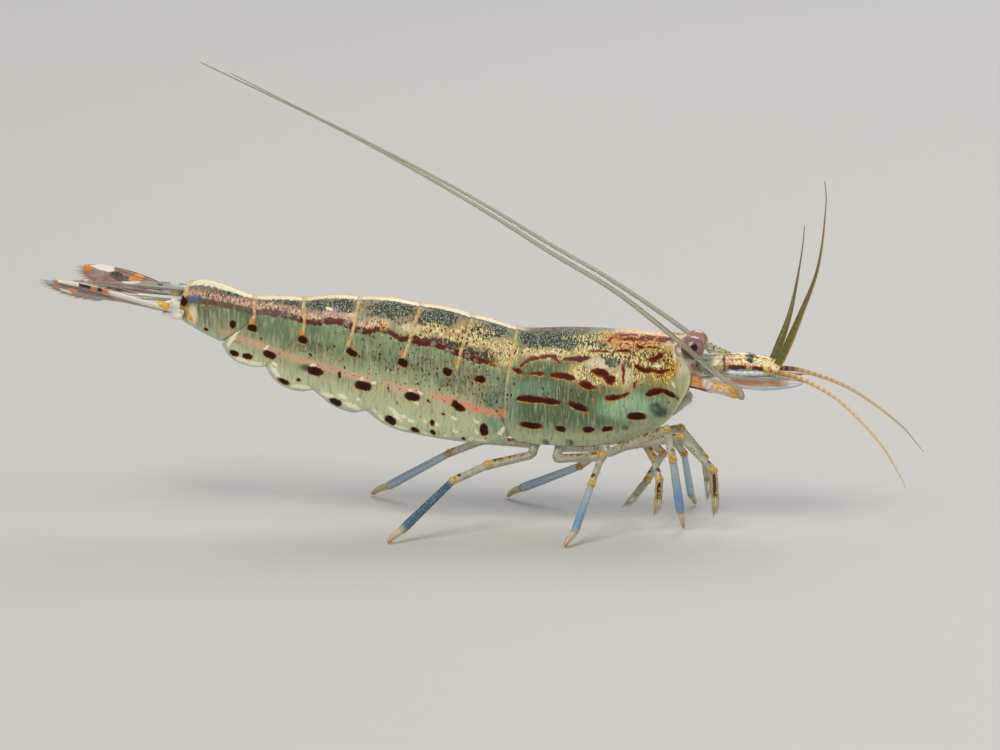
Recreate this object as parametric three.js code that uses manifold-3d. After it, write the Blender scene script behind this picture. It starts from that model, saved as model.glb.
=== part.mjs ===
// Amano shrimp (Caridina multidentata), an adult standing at rest: a still, life-size model.
// Millimetres. +X runs from tail to head, +Y to the animal's left and +Z up; the floor is z = 0.
// Every sub-part is one closed solid in its own named mesh. Shell plates are parted by thin
// joints, and each limb or feeler gives way to what it grows from by the same small clearance.

import * as THREE from 'three';
import { mergeVertices } from 'three/addons/utils/BufferGeometryUtils.js';
import Module from 'manifold-3d';

const wasm = await Module();
wasm.setup();

// ---- Driving dimensions ----

const JOINT_GAP = 0.04; // clearance between neighbouring pieces
const CENTRING_SHIFT = 0.73; // along X, so that the animal's bounding box is centred on the origin
const PLATE_SWELL = 0.13; // how far a tail plate rises between its two joints
const FEELER_RADIUS = 0.29; // the thinnest feeler that is still a sound solid
const BLADE_THICKNESS = 0.52; // tail fan, antennal scale and swimmerets
const EYE_RADIUS = 0.85;
const SIDES = { right: -1, left: 1 };

// The trunk in side view and from above: [x, height] and [x, half width].
const BACK_LINE = [
  [-22.8, 16.25], [-21.1, 16.75], [-17.25, 15.75], [-14, 15.62], [-10.05, 15.75], [-5.6, 15.32],
  [-2.1, 14.62], [1.25, 13.72], [5, 13.72], [8.5, 13.6], [12.5, 13.3],
];
const BELLY_LINE = [
  [-22.9, 14.2], [-18.9, 12.25], [-15.4, 10.25], [-11.6, 8.9], [-7.4, 7.35], [-4, 6.55],
  [-1.3, 6.3], [0.6, 6.1], [3, 5.65], [7.2, 5.7], [10, 6.35], [11.7, 7.3], [13.4, 8.9],
];
const HALF_WIDTH = [
  [-22.8, 1.15], [-19, 1.45], [-15, 1.95], [-10.5, 2.5], [-6, 2.95], [-1, 3.1], [2, 3.15],
  [6, 3.3], [9, 3.05], [11, 2.55], [13, 1.85],
];

// Where one shell plate ends and the next begins: x at the lower edge, half way up the flank and
// on the ridge of the back. The joints sweep back towards the lower edge, except the one before
// the second plate, whose side flap laps forward.
const PLATE_JOINTS = [
  [13.3, 12.9, 12.5], [0.6, 0.75, 1.3], [-0.5, -2.8, -1.95], [-9.3, -6.7, -5.5],
  [-13.1, -10.5, -9.8], [-16.4, -13.85, -13.8], [-19.5, -17.4, -17.25], [-22.6, -22.2, -21.85],
];

// The lower edge of each tail plate, from its rear corner to its front corner.
const HEMS = [
  [[-3, 6.35], [-1, 6.2], [0.7, 6.12]],
  [[-9.3, 8.05], [-8.4, 7.45], [-6.9, 6.75], [-3.5, 6.15], [-0.4, 6.0]],
  [[-13.1, 9.35], [-12.4, 8.9], [-11.6, 8.3], [-10.2, 7.8], [-9.3, 8.0]],
  [[-16.4, 10.85], [-15.8, 10.05], [-15, 9.5], [-13.8, 9.2], [-13.1, 9.35]],
  [[-19.5, 12.45], [-19.1, 11.7], [-18.4, 11.2], [-17.2, 10.82], [-16.4, 10.9]],
  [[-22.7, 14.2], [-21, 13.2], [-19.4, 12.5]],
];

// Half cross-sections, from the mid-line of the back round to the mid-line of the belly:
// [share of the half width, share of the height].
const CARAPACE_SECTION = [
  [0, 1], [0.3, 0.97], [0.58, 0.885], [0.8, 0.75], [0.94, 0.58], [1, 0.4], [0.97, 0.24],
  [0.88, 0.1], [0.74, 0.02], [0.55, 0], [0.42, 0.06], [0, 0.09],
];
const TAIL_SECTION = [
  [0, 1], [0.36, 0.965], [0.66, 0.86], [0.87, 0.7], [0.97, 0.5], [1, 0.33], [0.97, 0.17],
  [0.9, 0.05], [0.8, 0], [0.66, 0.04], [0.56, 0.14], [0.44, 0.22], [0, 0.25],
];

const FINISHES = {
  shell: { color: 0x9aa58a, roughness: 0.35, metalness: 0 },
  flesh: { color: 0xb9ad95, roughness: 0.5, metalness: 0 },
  eye: { color: 0x5c2f2b, roughness: 0.2, metalness: 0 },
  limb: { color: 0xaebfc4, roughness: 0.35, metalness: 0 },
  feeler: { color: 0xc9bb95, roughness: 0.45, metalness: 0 },
  fan: { color: 0xb79a78, roughness: 0.35, metalness: 0 },
};

// ---- Solids ----

const point = (x, y, z) => new THREE.Vector3(x, y, z);
const { lerp } = THREE.MathUtils;

// A smooth curve through [x, value] points, read at any x.
function smoothThrough(points) {
  const last = points.length - 1;
  const slopes = points.map((_, i) => {
    const before = points[Math.max(i - 1, 0)];
    const after = points[Math.min(i + 1, last)];
    return (after[1] - before[1]) / (after[0] - before[0]);
  });
  return (x) => {
    const above = points.findIndex((entry) => entry[0] > x);
    const i = above < 0 ? last - 1 : Math.max(above - 1, 0);
    const [x0, value0] = points[i];
    const [x1, value1] = points[i + 1];
    const span = x1 - x0;
    const t = THREE.MathUtils.clamp((x - x0) / span, 0, 1);
    const hermite = (2 * t - 3) * t * t;
    return (
      (1 + hermite) * value0 - hermite * value1
      + ((t - 2) * t + 1) * t * span * slopes[i] + (t - 1) * t * t * span * slopes[i + 1]
    );
  };
}

// Triangles that close a ring, wound the same way round as the ring itself.
function capTriangles(ring) {
  const centre = ring.reduce((sum, p) => sum.add(p), point(0, 0, 0)).divideScalar(ring.length);
  const normal = point(0, 0, 0);
  ring.forEach((p, i) => {
    const next = ring[(i + 1) % ring.length];
    normal.add(p.clone().sub(centre).cross(next.clone().sub(centre)));
  });
  normal.normalize();
  const across = ring[0].clone().sub(centre).normalize();
  const along = normal.clone().cross(across);
  const flat = ring.map((p) => {
    const arm = p.clone().sub(centre);
    return new THREE.Vector2(arm.dot(across), arm.dot(along));
  });
  return THREE.ShapeUtils.triangulateShape(flat, []).map(([a, b, c]) => {
    const turn = flat[b].clone().sub(flat[a]).cross(flat[c].clone().sub(flat[a]));
    return turn > 0 ? [a, b, c] : [a, c, b];
  });
}

// A closed solid through rings of equal length that follow one another.
function loft(rings) {
  const sides = rings[0].length;
  const at = (ring, side) => ring * sides + (side % sides);
  const faces = capTriangles(rings[0]);
  for (let ring = 0; ring + 1 < rings.length; ring += 1) {
    for (let side = 0; side < sides; side += 1) {
      faces.push([at(ring, side), at(ring + 1, side), at(ring + 1, side + 1)]);
      faces.push([at(ring, side), at(ring + 1, side + 1), at(ring, side + 1)]);
    }
  }
  const end = (rings.length - 1) * sides;
  capTriangles(rings.at(-1)).forEach(([a, b, c]) => faces.push([end + a, end + c, end + b]));
  const geometry = new THREE.BufferGeometry();
  const positions = rings.flat().flatMap((p) => p.toArray());
  geometry.setAttribute('position', new THREE.Float32BufferAttribute(positions, 3));
  geometry.setIndex(faces.flat());
  return toSolid(geometry);
}

function signedVolume(positions, index) {
  const [a, b, c] = [point(0, 0, 0), point(0, 0, 0), point(0, 0, 0)];
  let total = 0;
  for (let i = 0; i < index.length; i += 3) {
    a.fromArray(positions, index[i] * 3);
    b.fromArray(positions, index[i + 1] * 3);
    c.fromArray(positions, index[i + 2] * 3);
    total += a.dot(b.cross(c));
  }
  return total;
}

function toSolid(source) {
  const bare = source.clone();
  bare.deleteAttribute('normal');
  bare.deleteAttribute('uv');
  const merged = mergeVertices(bare, 1e-5);
  const vertProperties = new Float32Array(merged.attributes.position.array);
  const triVerts = new Uint32Array(merged.index.array);
  if (signedVolume(vertProperties, triVerts) < 0) {
    for (let i = 0; i < triVerts.length; i += 3) {
      [triVerts[i + 1], triVerts[i + 2]] = [triVerts[i + 2], triVerts[i + 1]];
    }
  }
  return new wasm.Manifold(new wasm.Mesh({ numProp: 3, vertProperties, triVerts }));
}

function toGeometry(solid) {
  const mesh = solid.getMesh();
  const geometry = new THREE.BufferGeometry();
  geometry.setAttribute('position', new THREE.Float32BufferAttribute(mesh.vertProperties, 3));
  geometry.setIndex(Array.from(mesh.triVerts));
  geometry.computeVertexNormals();
  return geometry;
}

const joined = (solids) => solids.reduce((sum, solid) => sum.add(solid));
const largest = (solid) => (
  solid.decompose().reduce((best, one) => (one.volume() > best.volume() ? one : best))
);

// An ellipse of points round a centre; the two arms are half axes.
function ellipse(centre, armA, armB, sides) {
  return Array.from({ length: sides }, (_, i) => {
    const angle = (2 * Math.PI * (i + 0.5)) / sides;
    return centre.clone()
      .addScaledVector(armA, Math.cos(angle))
      .addScaledVector(armB, Math.sin(angle));
  });
}

// Two unit vectors square to a direction, the first one level.
function crossAxes(direction) {
  const up = Math.abs(direction.z) > 0.95 ? point(1, 0, 0) : point(0, 0, 1);
  const level = up.clone().cross(direction).normalize();
  return [level, direction.clone().cross(level).normalize()];
}

// A tapering feeler along a smooth curve.
function feeler(points, radii, steps, sides, grow) {
  const curve = new THREE.CatmullRomCurve3(points, false, 'centripetal');
  const frames = curve.computeFrenetFrames(steps, false);
  const radiusAt = smoothThrough(radii);
  const rings = [];
  for (let step = 0; step <= steps; step += 1) {
    const u = step / steps;
    const radius = radiusAt(u) + grow;
    const centre = curve.getPointAt(u);
    if (step === 0) centre.addScaledVector(frames.tangents[0], -grow);
    if (step === steps) centre.addScaledVector(frames.tangents[steps], grow);
    const armA = frames.normals[step].clone().multiplyScalar(radius);
    const armB = frames.binormals[step].clone().multiplyScalar(radius);
    rings.push(ellipse(centre, armA, armB, sides));
  }
  return loft(rings);
}

// One article of a jointed limb: a tapering rod with rounded ends, [share of length, girth].
const ARTICLE_FORM = [[-0.05, 0.62], [0.1, 0.96], [0.9, 1], [1.05, 0.62]];
const LIMB_SIDES = 5;

function article(from, to, radiusFrom, radiusTo, grow) {
  const direction = to.clone().sub(from);
  const length = direction.length();
  direction.normalize();
  const [level, upright] = crossAxes(direction);
  const rings = ARTICLE_FORM.map(([share, girth], i) => {
    const radius = Math.max(lerp(radiusFrom, radiusTo, share) * girth, FEELER_RADIUS * 0.62) + grow;
    const overhang = i === 0 ? -grow : i === ARTICLE_FORM.length - 1 ? grow : 0;
    const centre = from.clone().addScaledVector(direction, share * length + overhang);
    return ellipse(
      centre, level.clone().multiplyScalar(radius), upright.clone().multiplyScalar(radius), LIMB_SIDES,
    );
  });
  return loft(rings);
}

// A chain of articles through [x, y, z, radius] joints.
function limb(joints, side, grow) {
  const places = joints.map(([x, y, z]) => point(x, y * side, z));
  const articles = [];
  for (let i = 0; i + 1 < joints.length; i += 1) {
    articles.push(article(places[i], places[i + 1], joints[i][3], joints[i + 1][3], grow));
  }
  return joined(articles);
}

// A lens-shaped blade from root to tip; half widths are given at even steps, and roll tips it.
function blade(root, tip, halfWidths, roll, grow, thickness = BLADE_THICKNESS, sides = 8) {
  const direction = tip.clone().sub(root).normalize();
  const [level] = crossAxes(direction);
  const wide = level.applyAxisAngle(direction, roll);
  const thick = direction.clone().cross(wide);
  const rings = halfWidths.map((halfWidth, i) => {
    const share = i / (halfWidths.length - 1);
    const overhang = i === 0 ? -grow : i === halfWidths.length - 1 ? grow : 0;
    const centre = root.clone().lerp(tip, share).addScaledVector(direction, overhang);
    return ellipse(
      centre,
      wide.clone().multiplyScalar(halfWidth + grow),
      thick.clone().multiplyScalar(thickness / 2 + grow),
      sides,
    );
  });
  return loft(rings);
}

const backAt = smoothThrough(BACK_LINE);
const bellyAt = smoothThrough(BELLY_LINE);
const halfWidthAt = smoothThrough(HALF_WIDTH);

const jointAt = (joint) => smoothThrough([[0, joint[0]], [0.5, joint[1]], [1, joint[2]]]);

// A trunk plate between two joints, down to a lower edge that is a curve of x.
function plate(front, rear, lowerEdgeAt, section, stations, swell, grow) {
  const reach = grow - JOINT_GAP / 2;
  const [frontAt, rearAt] = [jointAt(front), jointAt(rear)];
  const rings = [];
  for (let station = 0; station <= stations; station += 1) {
    const forward = station / stations;
    const across = (high) => lerp(rearAt(high), frontAt(high), forward);
    const zBack = backAt(across(1)) + swell * Math.sin(Math.PI * forward) + grow;
    const zHem = lowerEdgeAt(across(0)) - grow;
    const corner = ([wide, high], sign) => {
      const x = across(high);
      const half = halfWidthAt(x) + grow;
      return point(x + reach * (2 * forward - 1), sign * wide * half, lerp(zHem, zBack, high));
    };
    const right = section.map((entry) => corner(entry, -1));
    const left = section.slice(1, -1).reverse().map((entry) => corner(entry, 1));
    rings.push([...right, ...left]);
  }
  return loft(rings);
}

// ---- The pieces: each is a function of how far it is grown, and names what it gives way to ----

const pieces = new Map();
function piece(name, finish, build, yieldsTo = []) {
  pieces.set(name, { finish, build, yieldsTo });
}

// Trunk
piece('carapace', 'shell', (grow) => (
  plate(PLATE_JOINTS[0], PLATE_JOINTS[1], bellyAt, CARAPACE_SECTION, 9, 0.06, grow)
));

HEMS.forEach((hem, i) => {
  const stations = i === 0 || i === 5 ? 4 : 5;
  piece(`pleon_${i + 1}`, 'shell', (grow) => plate(
    PLATE_JOINTS[i + 1], PLATE_JOINTS[i + 2], smoothThrough(hem), TAIL_SECTION, stations,
    PLATE_SWELL, grow,
  ));
});

// The soft face between the carapace and the feelers' roots.
piece('head', 'flesh', (grow) => {
  const form = [[12.2, 10.8, 1.3, 1.7], [13.2, 10.85, 1.45, 1.6], [14.0, 10.8, 1.25, 1.3], [14.5, 10.7, 0.8, 0.8]];
  return loft(form.map(([x, z, wide, high], i) => {
    const overhang = i === 0 ? -grow : grow;
    return ellipse(point(x + overhang, 0, z), point(0, wide + grow, 0), point(0, 0, high + grow), 12);
  }));
}, ['carapace']);

// The rostrum: a thin, down-turned spike with a saw of small teeth along its upper edge.
piece('rostrum', 'shell', (grow) => {
  const root = new THREE.Vector2(11.2, 13.35);
  const brow = new THREE.Vector2(13.0, 13.25);
  const tip = new THREE.Vector2(16.4, 11.9);
  const teeth = 9;
  const toothHeight = 0.13;
  const outline = new THREE.Shape();
  outline.moveTo(root.x - grow, root.y + grow);
  for (let tooth = 0; tooth < teeth; tooth += 1) {
    const foot = brow.clone().lerp(tip, tooth / teeth);
    const peak = brow.clone().lerp(tip, (tooth + 0.75) / teeth);
    outline.lineTo(foot.x, foot.y + grow);
    outline.lineTo(peak.x, peak.y + toothHeight * (1 - tooth / (2 * teeth)) + grow);
  }
  outline.lineTo(tip.x + grow, tip.y);
  outline.lineTo(tip.x - 0.1, tip.y - 0.28 - grow);
  outline.quadraticCurveTo(14.4, 12.3 - grow, 13.0, 12.45 - grow);
  outline.lineTo(root.x - grow, root.y - 0.9 - grow);
  const thickness = BLADE_THICKNESS + 2 * grow;
  const saw = new THREE.ExtrudeGeometry(outline, { depth: thickness, bevelEnabled: false, curveSegments: 5 });
  saw.rotateX(Math.PI / 2);
  saw.translate(0, thickness / 2, 0);
  return toSolid(saw);
}, ['carapace', 'head']);

// Eyes on short stalks, the left one turned a little further forward and down
const EYES = { right: [13.5, 2.22, 12.72], left: [13.65, 2.2, 12.5] };
for (const [side, sign] of Object.entries(SIDES)) {
  const [x, away, z] = EYES[side];
  piece(`eye_${side}`, 'eye', (grow) => {
    const ball = new THREE.SphereGeometry(EYE_RADIUS + grow, 12, 7);
    ball.rotateX(Math.PI / 2);
    return toSolid(ball.translate(x, away * sign, z));
  });
  piece(`eyestalk_${side}`, 'flesh', (grow) => (
    limb([[12.95, 0.35, 12.0, 0.5], [x - 0.05, away - 0.32, z - 0.12, 0.55]], sign, grow)
  ), ['carapace', 'head', 'rostrum', `eye_${side}`]);
}

// Antennules: a three-jointed stem that carries a rising outer feeler and a drooping inner one.
const OUTER_FEELERS = {
  right: [[19.2, 1, 11.2], [19.7, 1.15, 12.1], [20.83, 1.6, 14.92], [22.0, 2.2, 18.4], [22.46, 2.8, 22.7], [22.36, 3, 24.4]],
  left: [[18.9, 1, 11.2], [19.2, 1.1, 11.9], [20.03, 1.6, 14.2], [20.5, 2.2, 16.2], [20.95, 2.8, 19], [21.1, 3, 20.7]],
};
const INNER_FEELERS = {
  right: [[19.2, 0.95, 10.9], [21.1, 1.2, 10.44], [23.7, 2, 9.04], [26.4, 2.8, 6.36], [28.0, 3.2, 3.8], [28.2, 3.25, 3.3]],
  left: [[19.2, 0.95, 10.9], [21.1, 1.1, 10.7], [24.5, 1.8, 9.34], [27.9, 2.6, 6.8], [29.3, 2.9, 5.2], [29.7, 3, 4.7]],
};
const OUTER_RADII = [[0, 0.4], [0.25, 0.36], [0.45, 0.3], [1, FEELER_RADIUS]];
const INNER_RADII = [[0, 0.34], [0.5, 0.31], [1, FEELER_RADIUS]];

for (const [side, sign] of Object.entries(SIDES)) {
  const mirrored = (list) => list.map(([x, y, z]) => point(x, y * sign, z));
  const stem = `antennule_${side}`;
  piece(stem, 'shell', (grow) => limb([
    [13.9, 0.7, 11.3, 0.6], [15.6, 0.92, 11.45, 0.52], [17.5, 1.0, 11.45, 0.46], [19.4, 1.0, 11.1, 0.42],
  ], sign, grow), ['head', 'rostrum', 'carapace']);
  piece(`antennule_outer_${side}`, 'feeler', (grow) => (
    feeler(mirrored(OUTER_FEELERS[side]), OUTER_RADII, 12, 5, grow)
  ), [stem]);
  piece(`antennule_inner_${side}`, 'feeler', (grow) => (
    feeler(mirrored(INNER_FEELERS[side]), INNER_RADII, 12, 5, grow)
  ), [stem, `antennule_outer_${side}`]);
}

// Antennae: a stout base under a leaf-like scale, and a long feeler swept back beside the body.
const ANTENNAE = {
  right: [
    [16.6, 2.5, 9.5], [16.95, 2.85, 9.4], [16.75, 3.15, 9.95], [15.65, 3.35, 10.78], [14.65, 3.5, 11.55],
    [13.35, 3.62, 12.7], [10.95, 4.3, 14.8], [8.05, 5.1, 17.1], [3.9, 6.1, 19.7], [0.6, 6.9, 21.9], [-4, 7.9, 24.75],
    [-9.9, 9.1, 28.1], [-18.9, 11, 32.65],
  ],
  left: [
    [16.6, 2.5, 9.5], [16.95, 2.85, 9.4], [16.65, 3.2, 9.95], [15.1, 3.6, 11.2], [12.45, 3.9, 13.3],
    [7.4, 4.9, 16.5], [3.1, 5.9, 18.8], [-2.4, 6.9, 21.9], [-9.2, 8.1, 25.3], [-16.6, 9.7, 28.7], [-20.8, 11, 30.6],
  ],
};
const ANTENNA_RADII = [[0, 0.36], [0.15, 0.32], [0.5, 0.3], [1, FEELER_RADIUS]];

for (const [side, sign] of Object.entries(SIDES)) {
  const base = `antenna_base_${side}`;
  piece(base, 'shell', (grow) => (
    limb([[13.4, 1.2, 10.25, 0.54], [15.0, 2.05, 9.98, 0.44], [16.75, 2.47, 9.6, 0.38]], sign, grow)
  ), ['head', 'carapace']);
  piece(`antenna_scale_${side}`, 'fan', (grow) => blade(
    point(14.0, 1.75 * sign, 10.4), point(21.05, 1.95 * sign, 10.3), [0.45, 0.85, 1.05, 1.05, 0.85, 0.3],
    sign * -0.3, grow,
  ), ['head', 'carapace', base, `antennule_${side}`]);
  piece(`antenna_${side}`, 'feeler', (grow) => feeler(
    ANTENNAE[side].map(([x, y, z]) => point(x, y * sign, z)), ANTENNA_RADII, 24, 5, grow,
  ), [base, `antenna_scale_${side}`, `eye_${side}`]);
}

// Third maxillipeds, folded forward under the face
for (const [side, sign] of Object.entries(SIDES)) {
  piece(`maxilliped_${side}`, 'limb', (grow) => (
    limb([[10.7, 0.7, 7.9, 0.42], [12.0, 0.95, 7.95, 0.36], [13.3, 0.85, 9.0, 0.3]], sign, grow)
  ), ['carapace', 'head']);
}

// Legs, front pair first: [x, distance from the mid-line, z, radius] at the coxa, basis, knee,
// wrist, ankle and tip. The first two pairs are picking claws, held clear of the floor; the
// other three stand on it, and their tips are cut level there.
const LEGS = [
  {
    right: [[9.9, 0.8, 7.5, 0.45], [10.0, 1.1, 6.1, 0.42], [10.8, 1.5, 4.9, 0.36], [11.3, 2.5, 3.5, 0.34], [11.2, 2.9, 1.3, 0.3]],
    left: [[9.9, 0.8, 7.5, 0.45], [10.0, 1.1, 6.1, 0.42], [11.4, 1.5, 4.6, 0.36], [10.3, 1.3, 2.7, 0.34], [8.9, 0.9, 0.9, 0.3]],
  },
  {
    right: [[8.3, 1, 7.0, 0.48], [8.7, 1.5, 5.6, 0.44], [12.8, 2.6, 6.5, 0.38], [15.05, 3.1, 4.3, 0.32], [15.25, 3.2, 1.35, 0.3]],
    left: [[8.3, 1, 7.0, 0.48], [8.7, 1.5, 5.6, 0.44], [12.6, 2.3, 6.3, 0.38], [14.3, 2.9, 4.1, 0.32], [14.7, 2.7, 1.3, 0.3]],
  },
  {
    right: [[6.6, 1.2, 6.8, 0.52], [7.7, 2.6, 5.3, 0.46], [11.8, 3.7, 7.2, 0.4], [12.27, 4, 5.17, 0.34], [12.8, 3.1, 1.3, 0.3], [13.0, 2.5, -0.25, 0.3]],
    left: [[6.6, 1.2, 6.8, 0.52], [7.6, 2.6, 5.2, 0.46], [11.6, 3.9, 5.9, 0.4], [12.8, 4.3, 4.1, 0.34], [13.3, 5.4, 0.9, 0.3], [13.6, 6.1, -0.25, 0.3]],
  },
  {
    right: [[4.6, 1.2, 6.7, 0.52], [4.1, 2, 4.75, 0.46], [7.4, 4.3, 5.4, 0.4], [6.8, 6.2, 3.8, 0.34], [5.8, 8.4, 0.9, 0.3], [5.2, 9.4, -0.25, 0.3]],
    left: [[4.6, 1.2, 6.7, 0.52], [4.3, 2, 4.8, 0.46], [7.2, 3.9, 4.5, 0.4], [5.3, 5.2, 2.9, 0.34], [0.9, 7, 0.85, 0.3], [-0.15, 7.6, -0.25, 0.3]],
  },
  {
    right: [[2.9, 1.2, 6.7, 0.52], [2.4, 2, 5.0, 0.46], [-0.5, 4, 4.6, 0.4], [-2.75, 5.8, 3.8, 0.34], [-6.0, 8.4, 0.8, 0.3], [-6.8, 9.3, -0.25, 0.3]],
    left: [[2.9, 1.2, 6.7, 0.52], [2.4, 2, 5.0, 0.46], [-1.4, 3.6, 5.0, 0.4], [-4.1, 4.9, 3.75, 0.34], [-8.8, 7, 0.85, 0.3], [-10.1, 7.6, -0.25, 0.3]],
  },
];
const belowFloor = (level) => {
  const slab = new THREE.BoxGeometry(60, 60, 2);
  return toSolid(slab.translate(0, 0, level - 1));
};

LEGS.forEach((pair, i) => {
  for (const [side, sign] of Object.entries(SIDES)) {
    const inFront = i > 0 ? [`leg_${i}_${side}`] : [];
    piece(`leg_${i + 1}_${side}`, 'limb', (grow) => (
      limb(pair[side], sign, grow).subtract(belowFloor(-grow))
    ), ['carapace', `maxilliped_${side}`, ...inFront]);
  }
});

// Swimmerets: a pair of small paddles in the groove between the side flaps of the first five plates.
const PADDLE_PLACES = [-0.35, -4.35, -9.5, -13.5, -17.15];
PADDLE_PLACES.forEach((x, index) => {
  const i = index + 1;
  const half = halfWidthAt(x);
  const height = backAt(x) - bellyAt(x);
  for (const [side, sign] of Object.entries(SIDES)) {
    const y = sign * half * 0.27;
    const paddle = half * 0.2;
    piece(`swimmeret_${i}_${side}`, 'fan', (grow) => blade(
      point(x - 0.1, y, bellyAt(x) + height * 0.3), point(x + 0.9, y, bellyAt(x) - 0.15),
      [paddle * 0.8, paddle, paddle * 0.6], 0, grow, BLADE_THICKNESS, 6,
    ), [`pleon_${i}`]);
  }
});

// Tail fan: the telson over two pairs of blades
piece('telson', 'fan', (grow) => blade(
  point(-21.7, 0, 16.1), point(-28.8, 0, 16.45), [0.95, 1.0, 0.85, 0.68, 0.5, 0.32], 0, grow, 0.62,
), ['pleon_6']);

const UROPODS = {
  outer_right: { root: [-21.9, -0.95, 14.95], tip: [-31.2, -4.6, 17.1], roll: 0.35 },
  outer_left: { root: [-21.9, 0.95, 14.95], tip: [-30.6, 4.6, 17.1], roll: -0.35 },
  inner_right: { root: [-21.9, -0.38, 15.35], tip: [-30.9, -2.25, 16.3], roll: -0.12 },
  inner_left: { root: [-21.9, 0.38, 15.35], tip: [-30.3, 2.25, 16.3], roll: 0.12 },
};
const OUTER_BLADE = [0.34, 0.7, 1.05, 1.2, 1.0, 0.4];
const INNER_BLADE = [0.3, 0.6, 0.9, 0.95, 0.75, 0.3];
for (const [name, { root, tip, roll }] of Object.entries(UROPODS)) {
  const outer = name.startsWith('outer');
  const side = name.split('_')[1];
  piece(`uropod_${name}`, 'fan', (grow) => (
    blade(point(...root), point(...tip), outer ? OUTER_BLADE : INNER_BLADE, roll, grow)
  ), outer ? ['pleon_6', 'telson'] : ['pleon_6', 'telson', `uropod_outer_${side}`]);
}

// ---- The model ----

const materials = Object.fromEntries(
  Object.entries(FINISHES).map(([name, look]) => [name, new THREE.MeshStandardMaterial({ name, ...look })]),
);

const shrimp = new THREE.Group();
shrimp.position.x = CENTRING_SHIFT;
for (const [name, { finish, build, yieldsTo }] of pieces) {
  let solid = build(0);
  for (const neighbour of yieldsTo) {
    solid = solid.subtract(pieces.get(neighbour).build(JOINT_GAP));
  }
  const mesh = new THREE.Mesh(toGeometry(largest(solid)), materials[finish]);
  mesh.name = name;
  shrimp.add(mesh);
}

export default shrimp;
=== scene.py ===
# %% [markdown]
# # A freshwater Amano shrimp, still and life size
# This lesson dresses a plain model of solids with the looks of the living animal. The solids were
# made in another program and never move here. They come in as a fixed frame, and every visible piece
# is built to lie where its solid lies, so nothing has to be fitted by eye afterwards.
# Lengths are written in millimetres, because the whole animal is only six centimetres long.

# %% Load the frame
import math
import bmesh
import bpy
import numpy as np
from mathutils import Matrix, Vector


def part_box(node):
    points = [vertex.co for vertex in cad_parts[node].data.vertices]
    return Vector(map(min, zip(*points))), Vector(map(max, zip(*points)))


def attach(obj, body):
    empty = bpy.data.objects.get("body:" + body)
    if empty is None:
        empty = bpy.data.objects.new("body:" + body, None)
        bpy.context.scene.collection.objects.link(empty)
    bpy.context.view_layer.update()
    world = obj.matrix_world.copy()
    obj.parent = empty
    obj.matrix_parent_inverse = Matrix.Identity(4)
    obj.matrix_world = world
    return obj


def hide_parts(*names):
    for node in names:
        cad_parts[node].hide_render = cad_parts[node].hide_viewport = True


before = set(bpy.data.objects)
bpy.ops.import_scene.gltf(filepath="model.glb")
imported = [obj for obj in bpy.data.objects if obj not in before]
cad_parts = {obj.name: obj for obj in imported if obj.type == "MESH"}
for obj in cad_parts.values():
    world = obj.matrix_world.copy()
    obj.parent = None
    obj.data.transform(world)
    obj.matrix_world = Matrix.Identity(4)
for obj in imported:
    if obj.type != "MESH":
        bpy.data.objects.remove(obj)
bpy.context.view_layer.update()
MM = 0.001
ROSTRUM_TIP_X = 16.4
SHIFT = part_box("rostrum")[1].x / MM - ROSTRUM_TIP_X
print("solids:", len(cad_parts), "shift along X in mm:", round(SHIFT, 3))

# %% [markdown]
# ## The camera
# A macro lens looks at the animal's right side from a little above, slightly ahead of square on.
# A long lens from 22 cm keeps the near and far feelers close to their true relative sizes.

# %% Camera
VIEW_AZIMUTH = math.radians(5)
VIEW_ELEVATION = math.radians(9)
VIEW_DISTANCE = 220
VIEW_WIDTH = 70
AIM = Vector((SHIFT, 0, 10.28)) * MM


def put(name, data):
    """A new object in the scene that holds this mesh, lamp or lens."""
    thing = bpy.data.objects.new(name, data)
    bpy.context.collection.objects.link(thing)
    return thing


lens = bpy.data.cameras.new("lens")
lens.sensor_width = 36
lens.lens = lens.sensor_width * VIEW_DISTANCE / VIEW_WIDTH
lens.clip_start = 0.005
lens.clip_end = 20
camera = put("camera", lens)
back = Vector((
    math.sin(VIEW_AZIMUTH) * math.cos(VIEW_ELEVATION),
    -math.cos(VIEW_AZIMUTH) * math.cos(VIEW_ELEVATION),
    math.sin(VIEW_ELEVATION),
))
camera.location = AIM + back * VIEW_DISTANCE * MM
camera.rotation_mode = "QUATERNION"
camera.rotation_quaternion = (-back).to_track_quat("-Z", "Y")
bpy.context.scene.camera = camera
print("lens in mm:", round(lens.lens, 1))

# %% [markdown]
# ## A tool for finishes
# A finish is a small network of nodes, and most of its layers repeat the same few moves: read a
# value stored on the mesh, break its edge with noise, and mix a colour in. The paint box gives each
# of these moves a short name. Sizes are given in millimetres, so a freckle of 0.2 is a fifth of a
# millimetre wide. Everything ends in one Principled shader, which is quick.

# %% Paint box
def tint(code):
    """A colour from a code such as C8A050, as the linear numbers that Blender mixes."""
    shares = [int(code[i:i + 2], 16) / 255 for i in (0, 2, 4)]
    linear = [c / 12.92 if c <= 0.04045 else ((c + 0.055) / 1.055) ** 2.4 for c in shares]
    return (*linear, 1.0)


class Value:
    """A number that a finish works out at each point of a surface; + - * make new ones from it."""

    def __init__(self, box, socket):
        self.box, self.socket = box, socket

    def __add__(self, other):
        return self.box.sum("ADD", self, other)

    def __radd__(self, other):
        return self.box.sum("ADD", other, self)

    def __sub__(self, other):
        return self.box.sum("SUBTRACT", self, other)

    def __rsub__(self, other):
        return self.box.sum("SUBTRACT", other, self)

    def __mul__(self, other):
        return self.box.sum("MULTIPLY", self, other)


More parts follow.
